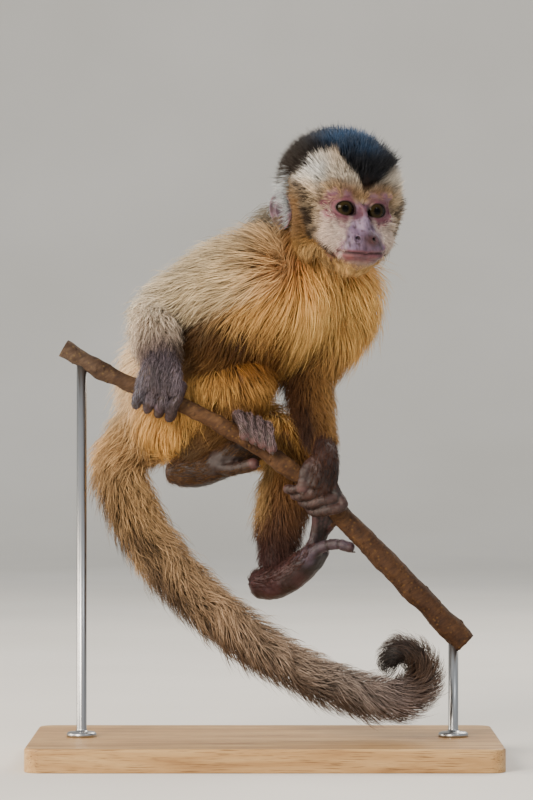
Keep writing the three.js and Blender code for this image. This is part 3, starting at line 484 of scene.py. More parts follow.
def oak_material():
    """Oiled oak: planed boards with grain along X, pores about 0.3 mm wide and a satin surface."""
    made, tree, shader = material("oiled_oak", roughness=0.42, specular_ior_level=0.45)
    place = node(tree, "ShaderNodeTexCoord").outputs["Object"]
    drawn = node(tree, "ShaderNodeMapping", {"Vector": place})
    drawn.inputs["Scale"].default_value = (9, 120, 120)
    grain = node(tree, "ShaderNodeTexNoise", {"Vector": drawn.outputs["Vector"]}, Scale=1.0, Detail=5.0,
                 Roughness=0.6, Distortion=0.4)
    fine = node(tree, "ShaderNodeMapping", {"Vector": place})
    fine.inputs["Scale"].default_value = (60, 1500, 1500)
    pores = node(tree, "ShaderNodeTexNoise", {"Vector": fine.outputs["Vector"]}, Scale=1.0, Detail=2.0)
    board = ramp(tree, grain.outputs["Fac"], [(0.3, "#8a6238"), (0.5, "#b18a58"), (0.7, "#c9a672")])
    pitted = ramp(tree, pores.outputs["Fac"], [(0.34, "#7a5d3d"), (0.44, "#ffffff")])
    both = node(tree, "ShaderNodeMixRGB", {"Color1": board, "Color2": pitted}, blend_type="MULTIPLY", Fac=0.6)
    tree.links.new(both.outputs["Color"], shader.inputs["Base Color"])
    bump(tree, shader, pores.outputs["Fac"], 0.0001, 0.4)
    return made


def steel_material():
    """Brushed stainless steel: drawn rod, with fine lengthwise marks."""
    made, tree, shader = material("brushed_steel", colour="#a9abad", metallic=1.0, roughness=0.3)
    place = node(tree, "ShaderNodeTexCoord").outputs["Object"]
    drawn = node(tree, "ShaderNodeMapping", {"Vector": place})
    drawn.inputs["Scale"].default_value = (2500, 2500, 60)
    marks = node(tree, "ShaderNodeTexNoise", {"Vector": drawn.outputs["Vector"]}, Scale=1.0, Detail=2.0)
    bump(tree, shader, marks.outputs["Fac"], 0.00004, 0.5)
    return made


HAIR, SKIN, WET_EYE, HORN = coat_material(), skin_material(), eye_material(), nail_material()
BARK, SAWN, OAK, STEEL = bark_material(), cut_wood_material(), oak_material(), steel_material()

# ---------------------------------------------------------------- the head's form
HEAD_FRAME = (Matrix.Translation(HEAD["at"])
              @ Matrix.Rotation(math.radians(HEAD["turn"]), 4, "Z")
              @ Matrix.Rotation(math.radians(HEAD["nod"]), 4, "Y")
              @ Matrix.Rotation(math.radians(HEAD["tilt"]), 4, "X"))
TURN = np.array(HEAD_FRAME.to_3x3())
HEART = np.array(HEAD["heart"], float)


def with_twins(forms):
    """Forms beside the middle plane are there on both sides."""
    both = []
    for row in forms:
        both.append(row)
        if row[1]:
            both.append((row[0], -row[1], *row[2:]))
    return np.array(both)


TWINS, COATED_TWINS = with_twins(HEAD_FORMS), with_twins(HEAD_COATED)


def from_head(points):
    """Places in the head's frame, in the frame of the solids."""
    return points @ TURN.T + np.array(HEAD["at"])


def to_head(points):
    """Places in the frame of the solids, in the head's frame."""
    return (points - np.array(HEAD["at"])) @ TURN


def head_reach(ways, forms=TWINS):
    """How far the skin is from the head's heart in each direction: the forms' far sides, blended."""
    total = np.zeros(len(ways))
    for row in forms:
        size = row[3:]
        start, ray = (HEART - row[:3]) / size, ways / size
        square = (ray**2).sum(1)
        nearest = -(ray @ start) / square
        missed = ((start + ray * nearest[:, None]) ** 2).sum(1) - 1
        beyond = np.where(missed < 0, np.sqrt(np.maximum(-missed, 0) / square), -missed * size.min())
        total += np.exp(HEAD["blend"] * (nearest + beyond))
    return np.log(total) / HEAD["blend"]


def head_depth(points):
    """How far points are outside the head's skin, along the line from its heart."""
    off = points - HEART
    far = np.linalg.norm(off, axis=1)
    return far - head_reach(off / far[:, None])


def mouth_height(y):
    """The line between the lips: a soft wave, a little higher at one corner."""
    share = y / MOUTH["half"]
    return MOUTH["z"] + MOUTH["corner"] * share**4 + MOUTH["slope"] * share - 0.55 * bell(y - 0.4, 1.7)


def eye_frame(side):
    """The eye's place and its directions: across the face, up, and along its sight."""
    slant, turn = math.radians(EYE["slant"] * side), math.radians(EYE["turn"] * side)
    spin = np.array((Matrix.Rotation(turn, 3, "Z") @ Matrix.Rotation(slant, 3, "X")))
    x, y, z = EYE["at"]
    return np.array([x, y * side, z]), spin[:, 1] * side, spin[:, 2], spin[:, 0]


def carved(points):
    """The face's finer relief, as a distance outwards for each point of the head's skin."""
    x, y, z = points.T
    front = ease(14, 22, x)
    line = z - mouth_height(y)
    within = 1 - ease(0.86, 1.04, np.abs(y) / MOUTH["half"])
    rise = -1.5 * bell(line, 0.75) * within
    rise += 0.75 * bell(line - 2.0, 1.5) * within + 0.9 * bell(line + 2.1, 1.7) * within
    rise -= 0.35 * bell(y, 0.8) * ease(-36.5, -35, z) * (1 - ease(-31.5, -30.5, z))  # cleft of the upper lip
    rise -= 0.5 * bell(np.abs(y) - 14.6, 1.3) * bell(line, 3)  # dimple beyond the corner
    aside, above = np.abs(y) - NOSTRIL[0], z - NOSTRIL[1]
    away = np.hypot(aside / 1.25, (above + 0.25 * aside) / 0.95)
    rise -= 3.2 * np.exp(-(away**3))
    wing = np.hypot(aside - 0.9, (above - 0.3) / 1.15)
    rise += 1.15 * bell(wing - 2.1, 0.9) * (np.abs(y) > 2.0)  # wing of the nostril
    rise += 0.8 * bell(y, 2.6) * bell(z + 24.6, 2.6)  # soft tip of the nose
    rise -= 0.5 * bell(y, 1.0) * bell(z + 27.6, 2.0)  # groove between the nostrils
    fold = np.abs(y) - np.interp(z, [-38, -30, -24, -18], [15.5, 11.5, 8.4, 6.4])
    rise -= 0.7 * bell(fold, 1.1) * ease(-37, -33, z) * (1 - ease(-22, -17, z))  # fold beside the muzzle
    for side in (1, -1):
        at, across, up, _ = eye_frame(side)
        off = points - at
        u, v = off @ across, off @ up
        ring = np.hypot(u / 1.18, v)
        ripple = np.sin(ring * 3.3 + 0.6 * np.sin(u * 0.7)) * ease(6.6, 7.6, ring) * (1 - ease(10, 13, ring))
        rise += 0.13 * ripple * front * (v < 1.5)  # fine folds under the eye
        rise -= 0.8 * bell(ring - 9.4, 2.2) * ease(-2, 3, v) * front * 0.6  # hollow over the lid
    rise += 0.16 * wander(points, 3.2, 5) * front
    return rise * front


def patch(side):
    """The lids of one eye: rings from the opening's edge out to the skin of the face, in the head's frame."""
    at, across, up, sight = eye_frame(side)
    sides = 72
    turn = circle(sides)
    c, s = np.cos(turn), np.sin(turn)
    high = np.where(s > 0, EYE["over"], EYE["under"])
    # The inner corner, at -u, is drawn out and a little low, and the outer one is rounder.
    u0 = EYE["wide"] * c * np.where(c < 0, 1.0, 0.97)
    v0 = high * np.sign(s) * np.abs(s) ** np.where(c < 0, 1.28, 1.05) - 0.9 * ease(0.3, 1, -c)
    grow = [0.94, 1.0, 1.035, 1.075, 1.12, 1.19, 1.27, 1.36, 1.46, 1.57, 1.7, 1.85, 2.05]
    lift = [-0.5, 0.12, 0.5, 0.72, 0.78, 0.72, 0.5, 0.3, 0.36, 0.5, 0.0, 0.0, 0.0]
    rings, blend = [], []
    for k, (g, h) in enumerate(zip(grow, lift)):
        u, v = u0 * g, v0 * (1 + (g - 1) * np.where(s > 0, 1.12, 1.08))
        on_ball = np.sqrt(np.maximum(EYE["ball"] ** 2 - u * u - v * v, 4.0))
        # The skin's distance along the sight is found by halving.
        low, top = np.full(sides, -6.0), np.full(sides, 22.0)
        for _ in range(26):
            middle = (low + top) / 2
            point = at + np.outer(u, across) + np.outer(v, up) + np.outer(middle, sight)
            outside = head_depth(point) > 0
            top, low = np.where(outside, middle, top), np.where(outside, low, middle)
        share = ease(1.02, 1.75, g)
        forward = (on_ball + h) * (1 - share) + (low + 0.25 * h * (1 - share)) * share
        if k == len(grow) - 1:
            forward = low - 0.35
        rings.append(at + np.outer(u, across) + np.outer(v, up) + np.outer(forward, sight))
        blend.append(np.full(sides, g))
    points = np.concatenate(rings)
    points[sides * 4:] += 0.1 * wander(points[sides * 4:], 1.6, 9)[:, None] * sight
    j = np.arange(sides)
    k = (j + 1) % sides
    faces = []
    for i in range(len(grow) - 1):
        a, b = i * sides, (i + 1) * sides
        quad = [np.stack([a + j, b + j, b + k], 1), np.stack([a + j, b + k, a + k], 1)]
        faces += quad if side > 0 else [q[:, ::-1] for q in quad]
    return points, np.concatenate(faces), np.concatenate(blend)


def head_skin():
    """The head's skin in the head's frame, with the lids and ears as part of it, and each vertex's kind."""
    ball = bmesh.new()
    bmesh.ops.create_icosphere(ball, subdivisions=7, radius=1)
    ways = np.array([v.co[:] for v in ball.verts])
    faces = np.array([[v.index for v in f.verts] for f in ball.faces])
    ball.free()
    ways = unit(ways + np.array([0.72, 0, -0.3]))
    points = HEART + ways * head_reach(ways)[:, None]
    points += ways * (carved(points) + 3.4 * fullness(*head_angles(points)))[:, None]
    for side in (1, -1):
        at, across, up, sight = eye_frame(side)
        off = points - at
        ring = np.hypot((off @ across) / EYE["wide"], (off @ up) / EYE["over"])
        sunk = 6.5 * (1 - ease(1.2, 1.72, ring)) + 0.9 * (1 - ease(1.72, 1.98, ring))
        points -= np.outer(sunk * (off @ sight > 0), sight)
    shapes, kinds = [(points, faces)], [np.zeros(len(points))]
    for side in (1, -1):
        lids, lid_faces, blend = patch(side)
        shapes.append((lids, lid_faces))
        kinds.append(np.where(blend < 1.16, 1.0, 2.0))
        cup, cup_faces = ear_shape(side)
        shapes.append((cup, cup_faces))
        kinds.append(np.full(len(cup), 3.0))
    points, faces = merged(shapes)
    return points, faces, np.concatenate(kinds)


def ear_shape(side):
    """One ear: a thin cup with a rolled rim, an inner ridge and the small flap before its opening."""
    spin = np.array(Matrix.Rotation(math.radians(side * (90 - EAR["forward"])), 3, "Z")
                    @ Matrix.Rotation(math.radians(EAR["lean"]), 3, "Y"))
    turn = circle(EAR["sides"])
    c, s = np.cos(turn), np.sin(turn)
    # The outline: a tall oval that is widest above its middle and narrows to the lobe.
    wide = EAR["wide"] * (1 - 0.12 * ease(0, -1, s)) * (1 + 0.04 * np.sin(3 * turn))
    rows = [(0.05, -2.6), (0.25, -2.4), (0.42, -1.5), (0.52, -0.3), (0.6, 0.2), (0.68, -0.4), (0.78, -0.6),
            (0.87, 0.7), (0.93, 1.9), (0.98, 2.4), (1.02, 2.1), (1.02, 1.2), (0.95, 0.3), (0.82, -1.4),
            (0.6, -3.3), (0.35, -4.3), (0.12, -4.6)]
    rings = []
    for share, out in rows:
        ridge = 0.9 * ease(-0.2, 0.7, c * side) if out > -3.0 and 0.45 < share < 0.85 else 0.0
        ring = np.stack([np.full(len(turn), out) + ridge, c * wide * share, s * EAR["tall"] * share], 1)
        rings.append(ring)
    points, faces = loft(rings, np.array([rows[0][1], 0, 0]), np.array([rows[-1][1], 0, 0]))
    x, y, z = EAR["at"]
    points = points @ spin.T + np.array([x, y * side, z])
    flap_ways = unit(np.array([[math.cos(t) * math.cos(e), math.sin(t) * math.cos(e), math.sin(e)]
                               for e in np.linspace(-1.4, 1.4, 9)
                               for t in np.linspace(0, 6.28, 14, endpoint=False)]))
    rings = [flap_ways[i * 14:(i + 1) * 14] * np.array([2.2, 1.9, 3.2]) for i in range(9)]
    flap, flap_faces = loft(rings, np.array([0, 0, -3.2]), np.array([0, 0, 3.2]))
    flap = flap + np.array([1.0, -5.6 * side, -2.6])
    flap = flap @ spin.T + np.array([x, y * side, z])
    return merged([(points, faces), (flap, flap_faces)])


# ---------------------------------------------------------------- markings, shared by skin and coat
def dyed(tone, *layers):
    """A tone with colours laid over it in turn: each layer is a hex value and its share at each point."""
    for colour, share in layers:
        tone = mix(tone, linear(colour), share)
    return tone


def even(colour, count):
    """One hex value as the tone of so many points."""
    return np.tile(linear(colour), (count, 1))


def row_tones(share, rows, column):
    """Tones between the hex values that stand in a column of a limb's rows."""
    places = [row[0] for row in rows]
    tones = np.array([linear(row[column]) for row in rows])
    return np.stack([np.interp(share, places, tones[:, c]) for c in range(3)], 1)


def head_angles(local):
    """Degrees round from the nose, left positive, and degrees above the level of the head's heart."""
    off = local - HEART
    around = np.degrees(np.arctan2(off[:, 1], off[:, 0]))
    above = np.degrees(np.arctan2(off[:, 2], np.hypot(off[:, 0], off[:, 1])))
    return around, above


# The lower edge of the black cap, with its point on the brow: degrees round and degrees above.
CAP_EDGE = ([-180, -145, -129, -99, -88, -85, -77, -68, -56, -45, -29, -18,
             -9, 0, 3, 8, 21, 39, 62, 85, 120, 145, 180],
            [-2, 8, 24, 28, 34, 41, 51, 58, 63, 62, 52, 45,
             36, 26, 23, 26, 33, 39, 46, 42, 25, 8, -2])
# The dark line before the ears, from the throat up to the cap: degrees above and degrees round.
SIDEBURN = ([-60, -49, -40, -37, -19, -5, 7, 17, 24, 34], [36, 43, 55, 69, 73, 76, 79, 85, 92, 101])


def fullness(around, above):
    """Where the head is broad above and before the ears, from 0 to 1."""
    return bell(np.abs(around) - 74, 34) * bell(above - 20, 34)


def head_zones(local):
    """Shares of the head's zones: the cap, the sideburn and what is beyond it, with the degrees beyond."""
    around, above = head_angles(local)
    ragged = wander(local, 5, 21) * 3.0
    cap = ease(-3, 4, above - np.interp(around, *CAP_EDGE) + ragged)
    beyond = np.abs(around) - np.interp(above, *SIDEBURN) + 0.7 * ragged
    low = ease(-5, -24, above)
    line = ease(-10 - 6 * low, -5 - 5 * low, beyond) * (1 - ease(2.5 + 2 * low, 6 + 3 * low, beyond))
    line = line * (1 - ease(24, 34, above)) * ease(-64, -50, above)
    return cap, line, ease(1, 7, beyond), beyond


def head_hair_tones(local, cap, line, outside):
    """The head hair's tones at its tips and at its roots."""
    around, above = head_angles(local)
    x, y, z = local.T
    apart = np.abs(around)
    over_eye = bell(np.hypot((np.abs(y) - 10) / 1.6, z + 1.0), 5.5) * ease(12, 20, x)
    pale = dyed(linear("#cdb79c"),
                ("#d8cdbd", bell(above - 42, 16)),
                ("#c9a673", bell(above - 18, 12) * (1 - ease(40, 62, apart)) * 0.85),
                ("#ddc9bc", ease(8, -12, above) * (1 - ease(50, 75, apart))),
                ("#d0b894", ease(48, 66, apart) * (1 - ease(10, 30, above)) * 0.6),
                ("#cdd0d0", bell(above - 42, 14) * ease(-50, -64, around) * 0.8),
                ("#6e4c3b", over_eye * 0.85))
    gold = dyed(linear("#7f6140"), ("#a88047", ease(-20, -50, above)), ("#77644c", ease(6, 20, above)))
    tip = dyed(mix(pale, gold, outside),
               ("#d2ab72", ease(-44, -54, above)),
               ("#1e1007", line * np.clip(0.85 + 0.3 * wander(local, 2.5, 44), 0, 0.97)))
    # The cap is brown at its point, black in its middle and blue where the sky shines on its top.
    black = dyed(even("#432813", len(local)),
                 ("#191b21", ease(28, 46, above)),
                 ("#3a5c84", ease(56, 84, above) * (0.75 + 0.3 * wander(local, 6, 71)).clip(0, 1)),
                 ("#2a2119", ease(-70, -95, around) * (1 - ease(48, 70, above)) * 0.9))
    tip = mix(tip, black, cap)
    crown = bell(above - 42, 18) * (1 - outside)
    root = dyed(tip * (0.62 + 0.2 * crown)[:, None], ("#0b0a0c", cap))
    tip = dyed(tip, ("#8f7b60", ease(110, 150, apart) * (1 - cap)))
    return tip, root


def bareness(local):
    """Where the face has no hair, from 0 to 1: round the eyes, on the nose and on the lips."""
    x, y, z = local.T
    bare = np.zeros(len(local))
    for side in (1, -1):
        at, across, up, _ = eye_frame(side)
        off = local - at
        ring = np.hypot((off @ across - 3.4) / 14.4, (off @ up - 0.5) / 12.4)
        bare = np.maximum(bare, 1 - ease(0.46, 1.2, ring + 0.17 * wander(local, 2.5, 3)))
    half = np.interp(z + 0.7 * wander(local, 2.0, 61),
                     [-46.5, -45.2, -44, -42.5, -40, -37, -31, -26, -20, -12, -7],
                     [0.5, 5.5, 10, 13.5, 16.5, 18, 16, 13, 9, 6, 4.5])
    muzzle = (1 - ease(0.6, 1.35, np.abs(y) / half + 0.1 * wander(local, 2.2, 6))) * (1 - ease(-8, -3, z))
    bare = np.maximum(bare, muzzle) * ease(6, 14, x) * (1 - 0.75 * bell(y, 4) * ease(-9, -5, z))
    return bare * (1 - 0.28 * ease(-41, -43.5, z))


def face_skin_tones(local):
    """Bare skin: pink lids, a mauve nose with a painted highlight and painted shade, brown skin and painted
    shade under its tip, rosy lips and a brown chin, with painted shade between the lips, in the eyes' inner
    corners and in the nostrils.
    """
    count = len(local)
    _, y, z = local.T
    blotch = np.clip(0.5 + 0.5 * wander(local, 3.0, 13), 0, 1)
    nose_half = np.interp(z, [-36, -30, -24, -18, -12, -6], [15.5, 14, 11.5, 8.5, 6, 5])
    nose = (1 - ease(0.75, 1.2, np.abs(y) / nose_half)) * ease(-37, -35, z) * (1 - ease(-8, -3, z))
    specks = np.clip(wander(local, 0.9, 52) - 0.2, 0, 1) * nose
    mouth = z - mouth_height(y)
    skin = dyed(even("#783e4e", count), ("#58303f", blotch), ("#745a68", ease(-8, -2, z) * 0.6))
    skin = mix(skin, dyed(even("#7d6c84", count), ("#5a4b60", blotch)), nose * 0.92)
    skin = dyed(skin,
                # Painted highlight: a paler stripe down the middle of the nose's bridge.
                ("#9c87a0", bell(y + 0.4, 3.2) * ease(-27, -20, z) * (1 - ease(-11, -5, z)) * 0.5),
                # Painted shade: a darker stripe down the side of the nose away from the light.
                ("#5f3f3c", bell(y - 5.2, 1.8) * ease(-24, -16, z) * (1 - ease(-6, -2, z)) * 0.55),
                ("#3a2a33", specks * 0.8),
                # Brown skin under the tip of the nose, darkened further as painted shade.
                ("#3f201a", bell(np.hypot((y - 3.4) / 7.2, (z + 29.6) / 5.0), 1) * 0.96),
                ("#664043", bell(mouth, 1.9) * (np.abs(y) < MOUTH["half"] + 1) * 0.8))
    skin = mix(skin, dyed(even("#754846", count), ("#5b3d40", blotch)), ease(-38.2, -39.2, z) * 0.85)
    skin = dyed(skin,
                ("#5c4640", ease(-41.5, -44.5, z) * 0.7),
                # Painted shade in the crease between the lips.
                ("#2c1616", bell(mouth, 0.55) * (np.abs(y) < MOUTH["half"] + 0.3) * 0.9))
    nostril = np.hypot((np.abs(y) - NOSTRIL[0]) / 1.3, (z - NOSTRIL[1]) / 1.05)
    for side in (1, -1):
        at, across, up, _ = eye_frame(side)
        u, v = (local - at) @ across, (local - at) @ up
        rim = np.hypot(u / EYE["wide"], v / np.where(v > 0, EYE["over"], EYE["under"]))
        skin = dyed(skin,
                    ("#5a3038", bell(rim - 1.5, 0.4) * 0.75),
                    ("#2c1615", (1 - ease(1.0, 1.22, rim)) * 0.92),
                    # Painted shade in the eye's inner corner.
                    ("#3d2220", bell(np.hypot(u + 6.2, (v + 1.6) * 1.4), 2.0) * 0.7),
                    # Painted shade in the nostrils.
                    ("#160b0a", 1 - ease(0.7, 1.25, nostril)))
    return skin


def head_hair_reach(local, cap, line, outside, beyond, bare):
    """The head hair's length and depth: short on the face, upright on the cap, long in the ruff."""
    around, above = head_angles(local)
    _, y, z = local.T
    on_cap = cap > 0.5
    way = unit(local - HEART)
    room = head_reach(way, COATED_TWINS) - head_reach(way)
    length = 3.0 + 5.0 * ease(0.4, 1.0, np.hypot(y / 20, (z + 22) / 28))
    length = np.where((cap <= 0.5) & (above > 12), 5.5 + 3.5 * ease(12, 45, above), length)
    length = length + ease(4, 18, beyond) * (1 - cap) * 9
    length = length * (1 - 0.35 * line)
    length = np.where(above < -46, np.maximum(length, 11 - bare * 7), length)
    brow = bell(np.hypot((np.abs(y) - 11) / 1.3, z + 1.5), 6.5)
    length = np.where(on_cap, 12.5, length) * (1 - 0.45 * bare) * (1 - 0.3 * brow)
    depth = np.where(on_cap, room * 1.7, 0.3 * length * (1 - 0.4 * bare) + room * (0.6 + 0.5 * outside))
    behind = 0.8 * bell(np.abs(around) - 88, 24) * bell(above + 12, 26) * outside
    full = np.maximum(fullness(around, above), behind)
    length, depth = length + 6.0 * full, depth + 8.0 * full
    # The hair is short in front of the ear, so that the ear shows.
    off = local - np.array([-2, 0, -13]) - np.sign(y)[:, None] * np.array([0, 28, 0])
    at_ear = bell(np.linalg.norm(off, axis=1), 18)
    at_ear = np.minimum(1.25 * at_ear, 1) * (1 - line)
    return length * (1 - 0.7 * at_ear), depth * (1 - 0.9 * at_ear)


def head_markings(local):
    """Coat and skin tones of the head, the hair's length and depth, and how much hair there is."""
    cap, line, outside, beyond = head_zones(local)
    tip, root = head_hair_tones(local, cap, line, outside)
    bare = bareness(local)
    skin = mix(root * 0.7 + 0.25 * tip, face_skin_tones(local), bare)
    length, depth = head_hair_reach(local, cap, line, outside, beyond, bare)
    mixed = np.where(cap > 0.5, 0.35, 0.4 + 0.4 * outside + 0.5 * ease(8, 20, head_angles(local)[1]))
    return dict(tip=tip, root=root, skin=skin, bare=bare, length=length, depth=depth, cap=cap, beyond=beyond,
                mixed=mixed)


LINES = {name: Line(**row) for name, row in LIMBS.items()}
WHORL, REDNESS, CURL = np.array([19, 10, 296]), np.array([19, 10, 295]), np.array([81, -20, 54])


def limb_fields(points):
    """What the limbs' rows give at points on the body, blended where limbs meet."""
    found = [line.nearest(points) for line in LINES.values()]
    far = np.stack([f[0] for f in found])
    blend = np.exp(-7 * (far - far.min(0)))
    blend /= blend.sum(0)
    flow, root, tip = (np.zeros_like(points) for _ in range(3))
    length, depth = np.zeros(len(points)), np.zeros(len(points))
    made = dict(weight={}, share={}, turn={})
    for w, (name, line), (_, best, turn) in zip(blend, LINES.items(), found):
        share = line.share[best]
        flow += line.along[best] * w[:, None]
        places = [row[0] for row in line.coat]
        length += w * np.interp(share, places, [row[1] for row in line.coat])
        depth += w * np.interp(share, places, [row[2] for row in line.coat])
        root += w[:, None] * row_tones(share, line.coat, 3)
        tip += w[:, None] * row_tones(share, line.coat, 4)
        made["share"][name], made["weight"][name], made["turn"][name] = share, w, turn
    return dict(made, flow=flow, length=length, depth=depth, root=root, tip=tip)


def body_flow(points, flow, weight, trunk, thighs):
    """The hair's direction: hanging down the chest and thighs, and out of a whorl at the shoulder's point."""
    flow[:, 2] -= trunk * ease(-30, 10, points[:, 0]) * 1.2 + weight["upper_arm_left"] * 0.5
    flow = flow * (1 - 0.75 * thighs)[:, None] + np.array([-0.25, 0, -1.2]) * thighs[:, None]
    off = points - WHORL
    near = bell(np.linalg.norm(off, axis=1), 26)
    flow += unit(off) * (near * 1.8)[:, None]
    return flow


def body_fields(points, normals):
    """For points on the body: direction of the hair, its length and depth, and its tones."""
    fields = limb_fields(points)
    weight, share = fields["weight"], fields["share"]
    x, y, z = points.T
    nx, _, nz = normals.T
    trunk = weight["trunk"] + weight["neck"]
    thighs = weight["thigh_right"] + weight["thigh_left"]
    fields["flow"] = body_flow(points, fields["flow"], weight, trunk, thighs)

    # The trunk: greyer on the back, darker under the belly, gold on the chest, with painted light low on the
    # chest and on the bottoms of the thighs, painted shade above the thigh and in the armpit, and painted
    # sunlight on the rump.
    upward = ease(0.0, 0.9, nz * 0.75 - nx * 0.55) * (trunk + weight["upper_arm_right"] * 0.4)
    belly = trunk * ease(0.1, 0.8, nx * 0.5 - nz * 0.8) * ease(290, 262, z)
    # Painted light: the bottoms of the thighs, in shade just above the branch, are made paler, over a fringe
    # that is paler of itself.
    low = thighs * (1 - ease(218, 230, z))
    # Painted light: the lower chest, which faces down and away from the lamps, is made paler and more golden.
    painted_light_on_low_chest = (trunk + weight["upper_arm_left"]) * ease(0, 24, x) * (1 - ease(285, 305, z))
    # Painted shade: darker hair under the overhang of the chest's fringe, above the thigh.
    painted_shade_above_thigh = (trunk + thighs) * ease(-60, -46, x) * (1 - ease(4, 18, x))
    painted_shade_above_thigh = painted_shade_above_thigh * ease(216, 244, z) * (1 - ease(250, 262, z)) * (y < 36)
    # Painted sunlight: paler, warmer hair on the rump and on the nearby thighs and tail.
    painted_sunlight_on_rump = (thighs + trunk + weight["tail"]) * (1 - ease(-74, -56, x))
    painted_sunlight_on_rump = painted_sunlight_on_rump * ease(196, 212, z) * (1 - ease(246, 262, z))
    # Painted shadow: a dark gap between the right arm and the chest's fringe.
    painted_armpit_shadow = 0.8 * bell((x + 29) / 2.4, 6) * bell(z - 256, 8) * (y < 40)
    painted_armpit_shadow = np.maximum(painted_armpit_shadow, bell((x + 18) / 1.6, 6) * bell(z - 250, 6) * (y < 40))
    red = bell(np.linalg.norm(points - REDNESS, axis=1), 16)

    # The limbs: brown and gold on the left arm's outer side, the brown made paler as painted fill light, a
    # gold fringe behind the left shank.
    left_arm = weight["forearm_left"] + weight["upper_arm_left"] * ease(0.55, 0.9, share["upper_arm_left"])
    # Brown hair on most of the left arm, made paler as painted fill light from the lower right.
    brown = left_arm * ease(-0.7, 0.1, nx)
    gold = left_arm * ease(0.3, 0.85, nx)
    inner = weight["forearm_right"] * ease(0.8, 1.0, nx)
    fringe = weight["shank_left"] * ease(0.55, 1.0, -nx) * (1 - ease(0.6, 0.8, share["shank_left"]))
    front = weight["shank_left"] * ease(0.45, 0.9, share["shank_left"]) * ease(0.2, 0.8, nx)

    # The tail: dark beneath, and silver inside its curl.
    tail, far_down = weight["tail"], share["tail"]
    under = tail * ease(-0.3, 0.5, -nx * 0.6 - nz * 0.8) * ease(0.08, 0.2, far_down)
    under = np.clip(under * (1 - ease(0.86, 0.93, far_down)) * (0.85 + 0.5 * wander(points, 7, 4)), 0, 1)
    inward = (unit(CURL - points) * normals).sum(1)
    inside = tail * ease(0.74, 0.82, far_down) * (1 - ease(0.94, 0.98, far_down)) * ease(0.1, 0.7, inward)

    for where, tip_tone, tip_share, root_tone, root_share in (
            (upward, "#7d7a71", 0.92, "#474440", 0.85),
            (belly, "#97632a", 0.7, "#42240b", 0.7),
            (low, "#f3c273", 0.85, "#a8733a", 0.6),
            (painted_light_on_low_chest, "#fbcf80", 0.75, "#cf9443", 0.75),
            (painted_shade_above_thigh, "#5f3a12", 0.9, "#2e1805", 0.9),
            (painted_sunlight_on_rump, "#ffe7c6", 0.75, "#c79f6f", 0.7),
            (painted_armpit_shadow, "#2c1206", 0.95, "#180802", 0.95),
            (red, "#c9793c", 0.75, "#9a5428", 0.75),
            (brown, "#8f683c", 0.85, "#5e3f21", 0.75),
            (gold, "#b98e53", 0.85, "#5e3f21", 0.0),
            (inner, "#5a4636", 0.8, "#382a20", 0.8),
            (fringe, "#b39260", 0.95, "#7f6138", 0.8),
            (under, "#463325", 0.85, "#2c1e16", 0.8),
            (inside, "#a5a09c", 0.85, "#6a645f", 0.7)):
        fields["tip"] = dyed(fields["tip"], (tip_tone, where * tip_share))
        fields["root"] = dyed(fields["root"], (root_tone, where * root_share))
    fields["length"] = fields["length"] + gold * 2 + fringe * 6 - 2 * inside + 3 * front
    fields["depth"] = fields["depth"] + fringe * 3 + 4 * front
    fields["mixed"] = 0.3 + 0.3 * tail + 0.3 * (weight["upper_arm_right"] + weight["forearm_right"])
    return fields


# ---------------------------------------------------------------- the skins
def fused(name, shapes, voxel, passes, material_used):
    """Closed shapes joined by a voxel remesh and smoothed: a new mesh as points, normals and triangles."""
    points, faces = merged(shapes)
    raw = piece(name + "_raw", points, faces, material_used, body=None)
    remesh = raw.modifiers.new("fuse", "REMESH")
    remesh.mode = "VOXEL"
    remesh.voxel_size = voxel * MM
    remesh.use_smooth_shade = True
    soften = raw.modifiers.new("soften", "SMOOTH")
    soften.factor = 0.5
    soften.iterations = passes
    graph = bpy.context.evaluated_depsgraph_get()
    mesh = bpy.data.meshes.new_from_object(raw.evaluated_get(graph))
    result = arrays_of(mesh)
    bpy.data.objects.remove(raw)
    bpy.data.meshes.remove(mesh)
    return result


CELLS = {name: (i % 4, i // 4) for i, name in enumerate([*LIMBS, "head"])}


def body_unwrap(points, fields):
    """A place on the unwrapped skin: each limb is rolled out in a cell of its own."""
    names = list(LINES)
    owner = np.argmax(np.stack([fields["weight"][name] for name in names]), 0)
    uv = np.zeros((len(points), 2))
    for i, name in enumerate(names):
        mine = owner == i
        cell = CELLS[name]
        around = fields["turn"][name][mine] / (2 * math.pi) + 0.5
        uv[mine, 0] = (cell[0] + 0.03 + 0.94 * around) / 4
        uv[mine, 1] = (cell[1] + 0.03 + 0.94 * fields["share"][name][mine]) / 3
    return uv


def head_unwrap(local):
    """A place on the unwrapped head, by the angles round and above."""
    around, above = head_angles(local)
    cell = CELLS["head"]
    return np.stack([(cell[0] + 0.03 + 0.94 * (around / 360 + 0.5)) / 4,
                     (cell[1] + 0.03 + 0.94 * (above / 180 + 0.5)) / 3], 1)


def build_body():
    """The skin of the trunk, the limbs and the tail, as one closed form."""
    haunch = Line([(-38, 56, 248, 15), (-58, 56, 238, 17), (-68, 54, 222, 15)], sides=24)
    shapes = [*(LINES[name].shape() for name in LIMBS), haunch.shape()]
    points, normals, faces = fused("body", shapes, 1.5, 10, SKIN)
    fields = body_fields(points, normals)
    skin = piece("skin_of_body", points, faces, SKIN, fields["root"] * 0.8, body_unwrap(points, fields))
    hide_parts("torso", "hips", "neck", "tail_base", "tail_middle", "tail_end", "tail_tip",
                "upper_arm_right", "forearm_right", "upper_arm_left", "forearm_left",
                "thigh_right", "shank_right", "thigh_left", "shank_left")
    return points, normals, faces


